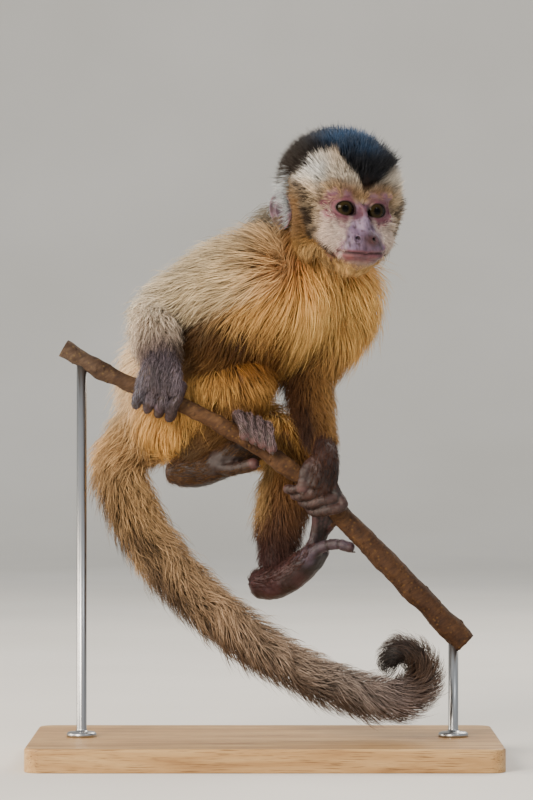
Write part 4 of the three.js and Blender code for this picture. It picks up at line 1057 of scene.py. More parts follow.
def build_head():
    """The skin of the head with its lids and ears."""
    local, faces, kinds = head_skin()
    marks = head_markings(local)
    colour = marks["skin"]
    lid_edge = kinds == 1.0
    colour[lid_edge] = dyed(colour[lid_edge], ("#2e1716", 0.8))
    ear = kinds == 3.0
    mottle = np.clip(0.5 + 0.5 * wander(local[ear], 5, 8), 0, 1)
    colour[ear] = dyed(even("#927580", ear.sum()), ("#5f4c58", mottle))
    points = from_head(local)
    skin = piece("skin_of_head", points, faces, SKIN, colour, head_unwrap(local))
    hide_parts("head", "ear_left", "ear_right")
    points, normals, faces = arrays_of(skin.data)
    return points, normals, faces, kinds


def build_eyes():
    """Both eyeballs, with the cornea standing proud over the iris."""
    for side, name in ((1, "eye_left"), (-1, "eye_right")):
        at, across, up, sight = eye_frame(side)
        gaze = unit(sight + up * -0.02 + np.array([0, -0.13, 0.0]))
        flat = unit(across - gaze * (across @ gaze))
        over = np.cross(gaze, flat)
        rings, places = [], []
        steps = np.concatenate([np.linspace(0.02, 1.25, 46), np.linspace(1.35, 3.1, 16)])
        turn = circle(64)
        for polar in steps:
            out = EYE["ball"] * math.sin(polar)
            reach = EYE["ball"] * math.cos(polar)
            if polar < 1.5:
                reach += 0.75 * max(0.0, 1 - (out / 5.8) ** 2)
            ring = np.outer(np.cos(turn), flat) + np.outer(np.sin(turn), over)
            rings.append(at + reach * gaze + out * ring)
            apart = out if polar < 1.5 else 2 * EYE["ball"] - out
            places.append(np.stack([turn / (2 * math.pi), np.full(len(turn), apart / 9.0)], 1))
        front = at + (EYE["ball"] + 0.75) * gaze
        points, faces = loft(rings, front, at - EYE["ball"] * gaze)
        uv = np.concatenate([*places, [[0.5, 0.0]], [[0.5, 1.0]]])
        eye = piece("eyeball_" + name[4:], from_head(points), faces[:, ::-1], WET_EYE, None, uv)
        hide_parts(name)


# ---------------------------------------------------------------- hands and feet
PERCH_LINE = Line(PERCH, sides=40, round_ends=(0.02, 0.02))


def over_branch(x):
    """The sample of the branch that is above a place of the base."""
    share = np.interp(x, PERCH_LINE.at[:, 0], PERCH_LINE.share)
    at, along = (np.array([np.interp(share, PERCH_LINE.share, rows[:, c]) for c in range(3)])
                 for rows in (PERCH_LINE.at, PERCH_LINE.along))
    return at, unit(along), float(np.interp(share, PERCH_LINE.share, PERCH_LINE.wide))


def wrap(x, start, end, lean=0, lift=(0,), points=4):
    """Points round the branch. Angle 0 is above it, 90 in front and 180 below."""
    made = []
    for i in range(points):
        share = i / (points - 1)
        at, along, wide = over_branch(x + lean * share)
        front = np.array([0, -1, 0])
        above = np.cross(front, along)
        turn = math.radians(start + (end - start) * share)
        reach = wide + FINGER + 0.6 + lift[min(i, len(lift) - 1)]
        made.append(tuple(at + above * reach * math.cos(turn) + front * reach * math.sin(turn)))
    return made


def digit(points, root=FINGER, tip=FINGERTIP):
    """A finger or toe: fuller at its joints and at its pad than between them."""
    last = len(points) - 1
    rows = []
    for i, point in enumerate(points):
        share = i / last
        thick = (root + (tip - root) * share) * (1 + 0.09 * math.cos(share * 4 * math.pi))
        rows.append((*point, thick, thick * 0.93))
    return Line(rows, across=[(0.3, 1, 0.2)], sides=16, carry=True, round_ends=(0.3, 0.9))


def fan(make, start=FINGER, tip=FINGERTIP):
    """Four digits side by side, from a function of each one's share across the hand or foot."""
    return [digit(make(i / 3), start, tip) for i in range(4)]


def hands_and_feet():
    """The limbs that make each hand and foot: the palm or sole first, then four digits and the thumb."""
    return {
        "hand_right": [
            Line([(-61, -4, 241, 8, 6.5), (-62, -10.5, 232, 12.5, 6), (-63.5, -12, 222.5, 13.8, 4.8)],
                 across=[(1, 0, -0.35)], sides=22),
            *fan(lambda s: [(-68 + 13 * s, -10, 231),
                            *wrap(-74.5 + 20.5 * s, 52, 222, 1, (2.6, 1.8, 0.5, 0))]),
            digit([(-55, -9, 227), *wrap(-54, 10, -110, 0, (1, 0))]),
        ],
        "hand_left": [
            Line([(35, 7, 191, 7, 6.5), (36.5, -3, 182, 9.2, 6.4), (35.5, -9.5, 172, 10.2, 6),
                  (33.5, -11.5, 163.5, 9, 5)], across=[(0.6, 0.3, -0.75)], sides=22),
            *fan(lambda s: [(36 + 2 * s, -8.5, 176 - 10 * s),
                            *wrap(29 + 14 * s, 45 + 20 * s, 168 + 22 * s, -9,
                                   (2.0, 2.4, 1.0, 0.2))], 3.5, 3.0),
            digit([(35, -7, 180), (29, -9.5, 179), (25, -11.5, 174.5), (23, -12.5, 169), (22.5, -12, 163)],
                  4.5, 3.5),
        ],
        "foot_right": [
            Line([(-55, 24.5, 172, 6, 6.8), (-49, 24, 172, 8.5, 9.2), (-38, 22.5, 173.5, 9.6, 10),
                  (-26, 20, 178, 10.5, 9), (-13, 16.5, 185, 11.5, 6.4), (-9, 14, 192, 11.5, 4.8)],
                 across=[(0.2, 0.9, 0.3), (0.85, 0.1, -0.5)], sides=22, round_ends=(0.95, 0.7)),
            *fan(lambda s: [(-15 + 12 * s, 14, 190 - 4 * s), (-16 + 16.5 * s, 8, 202.5 - 6 * s),
                            (-16 + 17 * s, -1, 207 - 6.5 * s - 3 * (s - 0.5) ** 2),
                            (-14 + 16.5 * s, -9.4, 202 - 7 * s),
                            (-11.5 + 15.5 * s, -10, 194.5 - 8 * s)], 4.2, 3.2),
            digit([(-30, 16, 177), (-22, 12, 174.5), (-14, 7, 175.5), (-7, 3, 177.5)], 5.2, 3.8),
        ],
        "foot_left": [
            Line([(-4, 26, 104, 8, 9), (5, 24, 105.5, 9.6, 10.5), (17, 19.5, 111, 11, 9.6),
                  (27, 15.5, 119, 11, 7.4), (31, 13, 124.5, 10, 5.6)],
                 across=[(0.1, 0.95, 0.2), (0.45, 0.75, -0.4)], sides=22),
            *fan(lambda s: [(26 + 4 * s, 10 + 7 * s, 121), (30 + 5 * s, 12 + 4 * s, 134),
                            *wrap(36 + 9 * s, -118, -62, -3, points=3)], tip=2.6),
            digit([(24, 11, 120), (33, 7, 127), (43, 3, 129.5), (51, 2, 127.5)], 4.7, 3.4),
        ],
    }


# The bare skin's own tone on each hand and foot, and how pink the last joints are.
PALMS = {"hand_right": ("#4a3a38", 0.15), "hand_left": ("#3d2925", 0.15),
         "foot_right": ("#35261f", 0.3), "foot_left": ("#43292a", 0.1)}


def nail(limb, out):
    """A claw-like nail on the last joint of a digit: an arched, pointed shell, away from the grip."""
    end, along = limb.at[-1], limb.along[-1]
    up = unit(out - along * (out @ along))
    side = np.cross(along, up)
    thick = limb.wide[-1]
    turn = circle(10)
    rings = []
    for share in np.linspace(0, 1, 7):
        half = thick * 0.62 * (1 - share**2.2) + 0.12
        at = end + along * (-1.6 + (thick * 0.9 + 2.0) * share) + up * (thick * 0.72 - 1.0 * share**2 + 0.25)
        arch = np.outer(np.sin(turn) * 0.42, up) * (0.75 + 0.25 * share)
        sag = np.outer(np.cos(turn) ** 2, up) * half * 0.45
        rings.append(at + np.outer(np.cos(turn), side) * half + arch - sag)
    return loft(rings, rings[0].mean(0), rings[-1].mean(0) + along * 0.5)


def palm_tones(name, points, digits, share, on_digit, crease):
    """Dark wrinkled skin: blue-grey painted sheen in patches on the right hand, painted shade near black in
    the clefts and in the creases, a little pink on the last joints.
    """
    base, pink = PALMS[name]
    tone = even(base, len(points))
    if name == "hand_right":
        # Painted sheen: blue-grey patches on the right hand's skin.
        tone = dyed(tone, ("#5d4c58", ease(0.2, 0.9, wander(points, 4, 77))))
    if name == "foot_left":
        tone = dyed(tone, ("#4d4350", on_digit * (points[:, 2] < 136) * 0.7))
    return dyed(tone,
                ("#271a18", np.clip(0.35 + 0.5 * wander(points, 6, 12), 0, 0.8)),
                # Painted shade: near black in the clefts between the digits.
                ("#0c0706", clefts_for_painted_shade(points, digits) * 0.85),
                ("#7d5254", ease(0.9, 1.0, share) * on_digit * pink),
                # Painted shade in the creases across the digits.
                ("#271a18", np.clip(crease, 0, 1) * on_digit * 0.7))


def build_hands_and_feet():
    """A skin and nails for each hand and foot. Gives what the hair on their backs needs."""
    nails, skins = [], {}
    for name, limbs in hands_and_feet().items():
        digits = limbs[1:]
        points, normals, faces = fused(name, [limb.shape() for limb in limbs], 0.62, 5, SKIN)
        far, _, share, _, _ = nearest_limb(points, digits)
        # Creases across the digits, and cords along the back of the hand or foot.
        on_digit = ease(1.7, 1.2, far)
        crease = sum(bell(share - place, 0.018) for place in (0.47, 0.5, 0.72, 0.75))
        folds = (0.09 * np.sin(share * 95) * on_digit
                 + 0.1 * wander(points, 1.3, 3) + 0.12 * wander(points, 3.1, 4))
        points = points - normals * (0.4 * crease * on_digit + folds)[:, None]
        tone = palm_tones(name, points, digits, share, on_digit, crease)
        skin = piece("skin_of_" + name, points, faces, SKIN, tone, unwrap_by_line(points, limbs))
        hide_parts(name)
        skins[name] = (points, normals, faces, share, on_digit, limbs)
        for limb in digits:
            at, _, _ = over_branch(limb.at[-1][0])
            nails.append(nail(limb, unit(limb.at[-1] - at)))
    points, faces = merged(nails)
    horn = piece("nails", points, faces, HORN)
    return skins


def nearest_limb(points, limbs):
    """For each point: how far out it is, its own limb, and that limb's share, turn and way there."""
    found = [limb.nearest(points) for limb in limbs]
    far = np.stack([f[0] for f in found])
    owner = far.argmin(0)
    share, turn, way = np.zeros(len(points)), np.zeros(len(points)), np.zeros((len(points), 3))
    for i, (limb, (_, best, around)) in enumerate(zip(limbs, found)):
        mine = owner == i
        share[mine], turn[mine], way[mine] = limb.share[best[mine]], around[mine], limb.along[best[mine]]
    return far.min(0), owner, share, turn, way


def clefts_for_painted_shade(points, digits):
    """The clefts between neighbouring digits, from 0 to 1, where shade is painted."""
    far = np.sort([digit.nearest(points)[0] for digit in digits[:4]], axis=0)
    return bell((far[1] - far[0]) / np.maximum(far[0], 0.8), 0.22) * (1 - ease(1.8, 2.8, far[0]))


def unwrap_by_line(points, limbs):
    """Each digit and palm rolled out in a cell of its own, three across and two up."""
    _, owner, share, turn, _ = nearest_limb(points, limbs)
    return np.stack([(owner % 3 + 0.04 + 0.92 * (turn / (2 * math.pi) + 0.5)) / 3,
                     (owner // 3 + 0.04 + 0.92 * share) / 2], 1)


# ---------------------------------------------------------------- the coat
def scatter(points, normals, faces, density):
    """Roots spread over triangles, as places and normals. The density is roots to a square millimetre."""
    a, b, c = (points[faces[:, k]] for k in range(3))
    area = np.linalg.norm(np.cross(b - a, c - a), axis=1) / 2
    expected = area * density[faces].mean(1)
    count = np.floor(expected + chance.random(len(faces))).astype(int)
    pick = np.repeat(np.arange(len(faces)), count)
    r1, r2 = np.sqrt(chance.random(len(pick))), chance.random(len(pick))
    w = np.stack([1 - r1, r1 * (1 - r2), r1 * r2], 1)
    corner = faces[pick]
    place = (points[corner] * w[:, :, None]).sum(1)
    normal = unit((normals[corner] * w[:, :, None]).sum(1))
    return place, normal


def along_skin(ways, normals):
    """Directions laid flat on the skin."""
    return unit(ways - normals * (ways * normals).sum(1, keepdims=True))


def tree_of(points):
    """A tree to find the nearest of some points."""
    tree = kdtree.KDTree(len(points))
    for i, point in enumerate(points):
        tree.insert(point, i)
    tree.balance()
    return tree


class Surface:
    """A skin's points and normals, to find the place under a hair."""

    def __init__(self, points, normals):
        self.points, self.normals, self.tree = points, normals, tree_of(points)

    def under(self, places):
        """The point of the skin that is nearest to each place, and its normal."""
        found = np.array([self.tree.find(place)[1] for place in places])
        return self.points[found], self.normals[found]


def strands(surface, root, normal, hairs, uv, wide, rings, clump, spread, stray, droop=0.0, hug=0.0):
    """Tufts of hair as thin three-sided tapered strands: points, triangles, tones and map places.

    Hairs holds each one's flow, length, depth and tones, and how mixed the coat is. The tips draw together
    by clump into locks about spread millimetres apart, and hairs turn aside by stray, hang by droop and
    follow the skin by hug."""
    count = len(root)
    lie = along_skin(hairs["flow"], normal)
    lean = stray * (chance.normal(0, 1, count) + 1.5 * wander(root, 16, 31) + 0.8 * wander(root, 6, 32))
    lie = unit(lie + np.cross(normal, lie) * lean[:, None])
    side = np.cross(normal, lie)
    # One hair in eight is a guard hair, that is thinner, longer and stands out of the rest.
    guard = chance.random(count) < 0.13
    length = hairs["length"] * chance.uniform(0.7, 1.12, count) * np.where(guard, 1.15, 1)
    depth = hairs["depth"] * chance.uniform(0.35, 1.06, count) * np.where(guard, 1.3, 1)
    depth = np.minimum(depth, length * 0.92)
    hug = np.clip(np.where(guard, 0.5, 1) * hug + chance.normal(0, 0.12, count), 0, 1)[:, None]
    ahead = np.sqrt(np.maximum(length**2 - depth**2, 0.5))
    share = np.append(np.arange(rings) / rings, 1.0)
    sway = chance.normal(0, 0.06, count) * length
    path = np.zeros((count, rings + 1, 3))
    # Each strand is led over the skin, and rises from it, so that it follows the body's round forms.
    here, way, up = root.copy(), lie.copy(), normal
    for i, s in enumerate(share):
        if i:
            here = here + way * (ahead * (s - share[i - 1]))[:, None]
            base, up = surface.under(here)
            here -= up * ((here - base) * up).sum(1, keepdims=True)
            way = along_skin(way, up)
        rise = (depth * s * (2 - s) - 0.5)[:, None]
        led = here + up * rise
        straight = root + lie * (ahead * s)[:, None] + normal * rise
        path[:, i] = led * hug + straight * (1 - hug) + side * (sway * s * s)[:, None]
        path[:, i, 2] -= np.asarray(droop) * s * s * length
    draw_together(path, root, share, clump, spread)
    points, faces = tapered(path, normal, wide * np.where(guard, 0.75, 1))
    tone, place = hair_bands(root, hairs, uv, share)
    return points, faces, tone, place


def draw_together(path, root, share, clump, spread):
    """Moves neighbouring tips together into small locks, each round one of the hairs."""
    count = len(root)
    heads = np.flatnonzero(chance.random(count) < 1.0 / max(spread * spread * 0.9, 1.5))
    tree = tree_of(root[heads])
    owner = np.array([heads[tree.find(place)[1]] for place in root])
    pull = clump * chance.uniform(0.4, 1.3, count)
    for i, s in enumerate(share[1:], 1):
        gap = path[owner, i] - path[:, i]
        near = np.minimum(1, 7.0 / np.maximum(np.linalg.norm(gap, axis=1), 1e-6))
        path[:, i] += gap * (pull * near * s**1.4)[:, None]


def tapered(path, normal, wide):
    """A closed three-sided strand round each path, flat to the skin but for a small twist."""
    count, rings = len(path), path.shape[1] - 1
    along = unit(np.gradient(path, axis=1))
    flat = unit(np.cross(along, normal[:, None, :]))
    twist = chance.uniform(-0.7, 0.7, count)[:, None, None]
    up = np.cross(flat, along)
    flat, up = (unit(flat * np.cos(twist) + up * np.sin(twist)),
                unit(up * np.cos(twist) - flat * np.sin(twist)))
    profile = {2: [0.9, 0.8], 3: [0.75, 1.0, 0.68]}[rings]
    half = ((wide * chance.uniform(0.75, 1.25, count))[:, None] * np.array(profile)[None])[..., None]
    body, flat, up = path[:, :rings], flat[:, :rings] * half, up[:, :rings] * half
    corners = np.stack([body - flat - up * 0.25, body + up * 0.75, body + flat - up * 0.25], 2)
    points = np.concatenate([corners.reshape(count, rings * 3, 3), path[:, rings:]], 1)
    one, last, tip = [(0, 1, 2)], (rings - 1) * 3, rings * 3
    for i in range(rings - 1):
        for j in range(3):
            a, b = i * 3 + j, i * 3 + (j + 1) % 3
            one += [(a, a + 3, b + 3), (a, b + 3, b)]
    one += [(last + j, tip, last + (j + 1) % 3) for j in range(3)]
    faces = (np.array(one)[None] + (np.arange(count) * (tip + 1))[:, None, None]).reshape(-1, 3)
    return points.reshape(-1, 3), faces


def hair_bands(root, hairs, uv, share):
    """Each point's tone and map place. Some of the strands are paler and some darker than the rest."""
    count, rings, mixed = len(root), len(share) - 1, hairs["mixed"]
    shade = chance.uniform(0.88, 1.12, count) * (1 + 0.08 * wander(root, 8, 33))
    kind = chance.random(count)
    pale_or_dark = np.where(kind < 0.28, 1 + 0.55 * mixed, np.where(kind > 0.74, 1 - 0.62 * mixed, 1))
    bands = np.append(np.repeat(share[:rings], 3), 1.0)
    span = (hairs["tip"] - hairs["root"])[:, None, :] * (bands[None, :, None] ** 0.6)
    tone = np.clip((hairs["root"][:, None, :] + span) * (shade * pale_or_dark)[:, None, None], 0.002, 1)
    offsets = np.stack([np.append(np.tile([-0.0015, 0, 0.0015], rings), 0.0), bands * 0.003], 1)
    return tone.reshape(-1, 3), (uv[:, None, :] + offsets[None]).reshape(-1, 2)


COAT_PIECES = []


def coat_piece(name, parts):
    """One piece of the coat from the results of strands."""
    points, faces = merged([(part[0], part[1]) for part in parts])
    tones, places = (np.concatenate([part[k] for part in parts]) for k in (2, 3))
    made = piece(name, points, faces, HAIR, tones, np.clip(places, 0.001, 0.999))
    COAT_PIECES.append((name, len(faces)))


def picked(fields, mine):
    """The values of hair for some of the roots."""
    return {key: fields[key][mine] for key in ("flow", "length", "depth", "root", "tip", "mixed")}


# The pieces of the body's coat: their limbs and slot, how strongly tips draw together, how many millimetres
# the locks are apart, and how far hairs stray.
BODY_COATS = {
    "coat_of_chest": (("trunk",), "fur_gold", 0.38, 3.4, 0.2),
    "coat_of_back": (("trunk",), "fur_gold", 0.38, 3.4, 0.2),
    "coat_of_neck_and_left_arm": (("neck", "upper_arm_left", "forearm_left"), "fur_gold", 0.38, 2.6, 0.15),
    "coat_of_right_arm": (("upper_arm_right", "forearm_right"), "fur_grey", 0.25, 2.6, 0.15),
    "coat_of_thighs": (("thigh_right", "thigh_left"), "fur_gold", 0.38, 3.4, 0.2),
    "coat_of_shanks": (("shank_right", "shank_left"), "fur_gold", 0.38, 3.4, 0.2),
    "coat_of_upper_tail": (("tail",), "fur_grey", 0.5, 3.4, 0.2),
    "coat_of_lower_tail": (("tail",), "fur_grey", 0.5, 3.4, 0.2),
}


def build_body_coat(points, normals, faces):
    """The coat of the trunk, the limbs and the tail."""
    weight = body_fields(points, normals)["weight"]
    density = np.full(len(points), 0.76)
    density += 0.45 * (weight["forearm_right"] + weight["forearm_left"] + weight["shank_left"]
                       + weight["shank_right"])
    density[head_depth(to_head(points)) < 1.0] = 0
    place, normal = scatter(points, normals, faces, density)
    field = body_fields(place, normal)
    uv = body_unwrap(place, field)
    surface = Surface(points, normals)
    # A hair shows mostly beyond its middle, so its tones are those of the place that it covers.
    lie = along_skin(field["flow"], normal)
    seen = body_fields(*surface.under(place + lie * (0.55 * field["length"])[:, None]))
    field["root"], field["tip"] = seen["root"], seen["tip"]
    owner = np.argmax(np.stack([field["weight"][name] for name in LIMBS]), 0)
    order = list(LIMBS)
    half = {"coat_of_chest": place[:, 0] > -8,
            "coat_of_back": place[:, 0] <= -8,
            "coat_of_upper_tail": field["share"]["tail"] < 0.5,
            "coat_of_lower_tail": field["share"]["tail"] >= 0.5}
    trunk = field["weight"]["trunk"] + field["weight"]["neck"]
    droop = 0.16 * trunk * ease(-30, 10, place[:, 0]) + 0.04
    for name, (limbs, slot, clump, spread, stray) in BODY_COATS.items():
        mine = np.isin(owner, [order.index(limb) for limb in limbs]) & half.get(name, True)
        wide = np.interp(field["length"][mine], [6, 14, 20, 30], [0.11, 0.15, 0.2, 0.24])
        hug = 0.5 + 0.35 * ease(60, 80, place[mine, 1])
        hairs = picked(field, mine)
        coat_piece(name, [strands(surface, place[mine], normal[mine], hairs, uv[mine], wide, 3,
                                        clump, spread, stray, droop[mine], hug)])


def build_head_coat(points, normals, faces, kinds):
    """The head's coat: an upright cap, pale brow and cheeks, and a ruff that radiates from the face."""
    marks = head_markings(to_head(points))
    buried = np.zeros(len(points), bool)
    for name in ("neck", "trunk", "upper_arm_left"):
        buried |= LINES[name].nearest(points)[0] < 0.97
    density = np.where(marks["cap"] > 0.5, 1.9, np.where(marks["beyond"] > 0, 2.1, 4.1))
    density = density * (1 - marks["bare"]) ** 1.3 + 0.7 * (marks["bare"] < 0.97)
    density[(kinds > 0) | buried] = 0
    place, normal = scatter(points, normals, faces, density)
    surface = Surface(points, normals)
    local = to_head(place)
    marks = head_markings(local)
    around, above = head_angles(local)
    flow = unit(local - np.array([30, 0, -22])) - np.array([0.5, 0, 0])
    flow[:, 2] += ease(8, 30, above) * 0.3 - ease(-30, -50, above) * 0.5
    # Behind the sideburn the hair comes down and a little forward, to meet that of the cheek in a ridge.
    down = (ease(5, 16, marks["beyond"]) * (1 - marks["cap"]) * (1 - ease(105, 130, np.abs(around))))[:, None]
    flow = flow * (1 - 0.7 * down) + np.array([0.1, 0, -0.75]) * down
    marks["flow"] = flow @ TURN.T
    reach = (0.78 - 0.28 * ease(8, 30, above)) * marks["length"]
    covered = surface.under(place + along_skin(marks["flow"], normal) * reach[:, None])[0]
    seen = head_markings(to_head(covered))
    marks.update({key: seen[key] for key in ("root", "tip", "mixed")})
    wide = np.interp(marks["length"], [3, 9, 18], [0.075, 0.12, 0.19])
    cap, behind = marks["cap"] > 0.5, marks["beyond"] > 0
    for name, mine, stray, hug in (("coat_of_cap", cap, 0.2, 0.3),
                                   ("coat_of_face", ~cap & ~behind, 0.12, 0.45),
                                   ("coat_of_ruff", ~cap & behind, 0.12, 0.45)):
        uv = head_unwrap(local[mine])
        coat_piece(name, [strands(surface, place[mine], normal[mine], picked(marks, mine), uv,
                                              wide[mine], 2, 0.28, 1.7, stray, hug=hug)])
    return surface


def build_ear_hairs(surface):
    """Silver hairs on the rim of each ear and on the head above it, streaming out sideways."""
    parts = []
    for side, many in ((1, 400), (-1, 420)):
        cup, _ = ear_shape(side)
        centre = np.array(EAR["at"]) * [1, side, 1]
        rim = cup[EAR["sides"] * 5:EAR["sides"] * 17]
        rim = rim[chance.random(len(rim)) < 0.8]
        rim += chance.normal(0, 0.5, rim.shape)
        over = centre + np.stack([chance.normal(1, 4.5, many), np.full(many, -side * 3.0),
                                  chance.normal(12, 7.0, many)], 1)
        over = HEART + unit(over - HEART) * head_reach(unit(over - HEART))[:, None]
        on_rim, count = len(rim), len(rim) + many
        out = unit(rim - centre)
        flow = np.concatenate([out * 0.5, np.zeros((many, 3))]) + np.array([-0.3, side * 0.9, 0.12])
        flow = unit(flow + chance.normal(0, 0.16, (count, 3)))
        up = unit(np.concatenate([out + np.array([0.3, side, 0.2]),
                                  np.tile([1.0, side * 0.25, 0.25], (many, 1))]))
        tone = even("#bcc3c8", count) * chance.uniform(0.4, 1.15, (count, 1))
        long = np.where(np.arange(count) < on_rim, 6.0, 14.0)
        roots = np.concatenate([rim, over])
        hairs = dict(flow=flow @ TURN.T, length=long, depth=long * 0.25, root=tone * 0.7, tip=tone, mixed=0.5)
        parts.append(strands(surface, from_head(roots), up @ TURN.T, hairs, head_unwrap(roots),
                             np.full(count, 0.11), 2, 0.3, 2.0, 0.16))
    coat_piece("coat_of_ears", parts)


# Short hair on the backs of the hands and feet: hairs to a square millimetre, length on the back and on the
# digits, tones at root and tip, the digits' tone at the tip, and how far along the digits the hair goes.
HAND_HAIR = {
    "hand_right": (1.6, 7.0, 5.5, "#1f1817", "#82767f", "#4e3d3b", 0.9),
    "hand_left": (1.2, 6.0, 3.6, "#1a100e", "#503225", "#503a34", 0.6),
    "foot_right": (1.3, 6.5, 7.0, "#2a1b15", "#5f4122", "#a28c90", 0.97),
    "foot_left": (1.1, 6.0, 3.0, "#2a1712", "#523530", "#4a3836", 0.35),
}


def build_hand_hairs(skins):
    """The short hair of hands and feet: none on the grip, and little beyond the first joints."""
    parts = []
    for name, (points, normals, faces, share, on_digit, limbs) in skins.items():
        rate, long, short, root_tone, back_tone, digit_tone, reach = HAND_HAIR[name]
        centre = np.array([over_branch(x)[0] for x in points[:, 0]])
        outer = (normals * unit(points - centre)).sum(1)
        if name == "foot_left":
            outer = normals[:, 2] + 0.4
        if name == "foot_right":
            outer = np.where(on_digit > 0.5, outer, normals[:, 2] + 0.95)
        covered = np.where(on_digit > 0.5, 1 - ease(reach - 0.2, reach, share), 1.0)
        place, normal = scatter(points, normals, faces, rate * ease(0.0, 0.4, outer) * covered)
        _, owner, along, _, flow = nearest_limb(place, limbs)
        count, digits = len(place), owner > 0
        length = np.where(digits, short, long * (1.1 - 0.3 * along))
        tip = dyed(even(back_tone, count), (digit_tone, (digits & (owner < 5)) * 0.85))
        if name == "hand_right":
            # Painted highlight: blue-grey tips on the hair at the left of the right hand.
            tip = dyed(tip, ("#8c93a6", (1 - ease(-79, -68, place[:, 0])) * 0.8))
        # Painted shade in the clefts between the digits.
        tip = dyed(tip, ("#120c0b", clefts_for_painted_shade(place, limbs[1:]) * np.where(digits, 1, 0.45) * 0.85))
        root = mix(even(root_tone, count), tip, np.full(count, 0.25))
        hairs = dict(flow=flow, length=length, depth=length * np.where(digits, 0.2, 0.32), root=root, tip=tip,
                     mixed=0.8)
        parts.append(strands(Surface(points, normals), place, normal, hairs, unwrap_by_line(place, limbs),
                             np.where(digits, 0.1, 0.13), 2, 0.35, 1.8, 0.1, hug=1.0))
    coat_piece("coat_of_hands_and_feet", parts)


# ---------------------------------------------------------------- the branch and the stand
def build_branch():
    """The branch with its sawn ends, its corky spots and the stub of a twig."""
    line, sides = PERCH_LINE, 48
    turn = circle(sides)
    steps = np.linspace(0, 1, 180)
    at, side, up = (np.stack([np.interp(steps, line.share, rows[:, c]) for c in range(3)], 1)
                    for rows in (line.at, line.side, line.up))
    wide = np.interp(steps, line.share, line.wide)
    rings = []
    for i in range(len(steps)):
        ring = at[i] + (np.outer(np.cos(turn), side[i]) + np.outer(np.sin(turn), up[i])) * wide[i]
        swell = 0.35 * wander(ring, 9, 41) + 0.18 * wander(ring, 2.6, 42) - 0.2
        rings.append(ring + unit(ring - at[i]) * swell[:, None])
    points, faces = loft(rings, at[0], at[-1])
    bark = piece("branch_bark", points, faces, BARK)
    bark.data.materials.append(SAWN)
    ends = np.zeros(len(faces), np.int32)
    ends[:sides] = ends[-sides:] = 1
    bark.data.polygons.foreach_set("material_index", ends)
    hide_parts("perch")
    lenticels(bark)
    build_twig(line)


def build_twig(line, x=47, tilt=math.radians(-68), high=4.2):
    """The stub of a broken twig."""
    i = int(round(np.interp(x, line.at[:, 0], line.share) * (len(line.at) - 1)))
    out = unit(line.side[i] * math.cos(tilt) + line.up[i] * math.sin(tilt))
    foot = line.at[i] + out * (line.wide[i] - 1.0)
    flat = unit(np.cross(out, line.along[i]))
    turn = circle(16)
    rings = []
    for share in np.linspace(0, 1, 7):
        radius = 2.6 - 1.5 * share**0.6
        ring = np.outer(np.cos(turn), flat) + np.outer(np.sin(turn), line.along[i])
        ring = foot + out * high * share + ring * radius
        rings.append(ring + 0.12 * wander(ring, 1.0, 5)[:, None] * out)
    twig = piece("broken_twig", *loft(rings, foot, foot + out * 4.3), BARK)


def lenticels(bark):
    """Small raised corky spots, spread over the bark by a tree of nodes with a size, a density and a seed."""
    tree = bpy.data.node_groups.new("lenticel_spots", "GeometryNodeTree")
    tree.interface.new_socket("Geometry", in_out="INPUT", socket_type="NodeSocketGeometry")
    for label, value in (("Spots per m2", 14000.0), ("Size", 0.0007)):
        socket = tree.interface.new_socket(label, in_out="INPUT", socket_type="NodeSocketFloat")
        socket.default_value = value
    seed = tree.interface.new_socket("Seed", in_out="INPUT", socket_type="NodeSocketInt")
    seed.default_value = 3
    tree.interface.new_socket("Geometry", in_out="OUTPUT", socket_type="NodeSocketGeometry")
    given = node(tree, "NodeGroupInput")
    spots = node(tree, "GeometryNodeDistributePointsOnFaces", {
        "Mesh": given.outputs["Geometry"], "Density": given.outputs["Spots per m2"],
        "Seed": given.outputs["Seed"]})
    grain = node(tree, "GeometryNodeMeshIcoSphere", {"Radius": given.outputs["Size"]}, Subdivisions=2)
    low = node(tree, "GeometryNodeTransform", {"Geometry": grain.outputs["Mesh"]})
    low.inputs["Scale"].default_value = (1.0, 1.6, 0.45)
    size = node(tree, "FunctionNodeRandomValue", {"Seed": given.outputs["Seed"]}, data_type="FLOAT")
    size.inputs[2].default_value = 0.5
    size.inputs[3].default_value = 1.5
    placed = node(tree, "GeometryNodeInstanceOnPoints", {
        "Points": spots.outputs["Points"], "Instance": low.outputs["Geometry"],
        "Rotation": spots.outputs["Rotation"], "Scale": size.outputs[1]})
    real = node(tree, "GeometryNodeRealizeInstances", {"Geometry": placed.outputs["Instances"]})
    clad = node(tree, "GeometryNodeSetMaterial", {"Geometry": real.outputs["Geometry"]})
    clad.inputs["Material"].default_value = BARK
    out = node(tree, "NodeGroupOutput")
    tree.links.new(clad.outputs["Geometry"], out.inputs["Geometry"])
    carrier = bpy.data.objects.new("lenticel_carrier", bark.data.copy())
    bpy.context.scene.collection.objects.link(carrier)
    modifier = carrier.modifiers.new("lenticels", "NODES")
    modifier.node_group = tree
    for item in tree.interface.items_tree:
        if item.in_out == "INPUT" and item.name == "Seed":
            modifier[item.identifier] = 5
    graph = bpy.context.evaluated_depsgraph_get()
    mesh = bpy.data.meshes.new_from_object(carrier.evaluated_get(graph))
    bpy.data.objects.remove(carrier)
    mesh.polygons.foreach_set("use_smooth", np.ones(len(mesh.polygons), bool))
    made = bpy.data.objects.new("lenticels", mesh)
    bpy.context.scene.collection.objects.link(made)
    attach(made, "root")
    return made


def disc(x, y, radius, z, sides=40):
    """A level ring of points."""
    turn = circle(sides)
    return np.stack([x + radius * np.cos(turn), y + radius * np.sin(turn), np.full(sides, z)], 1)


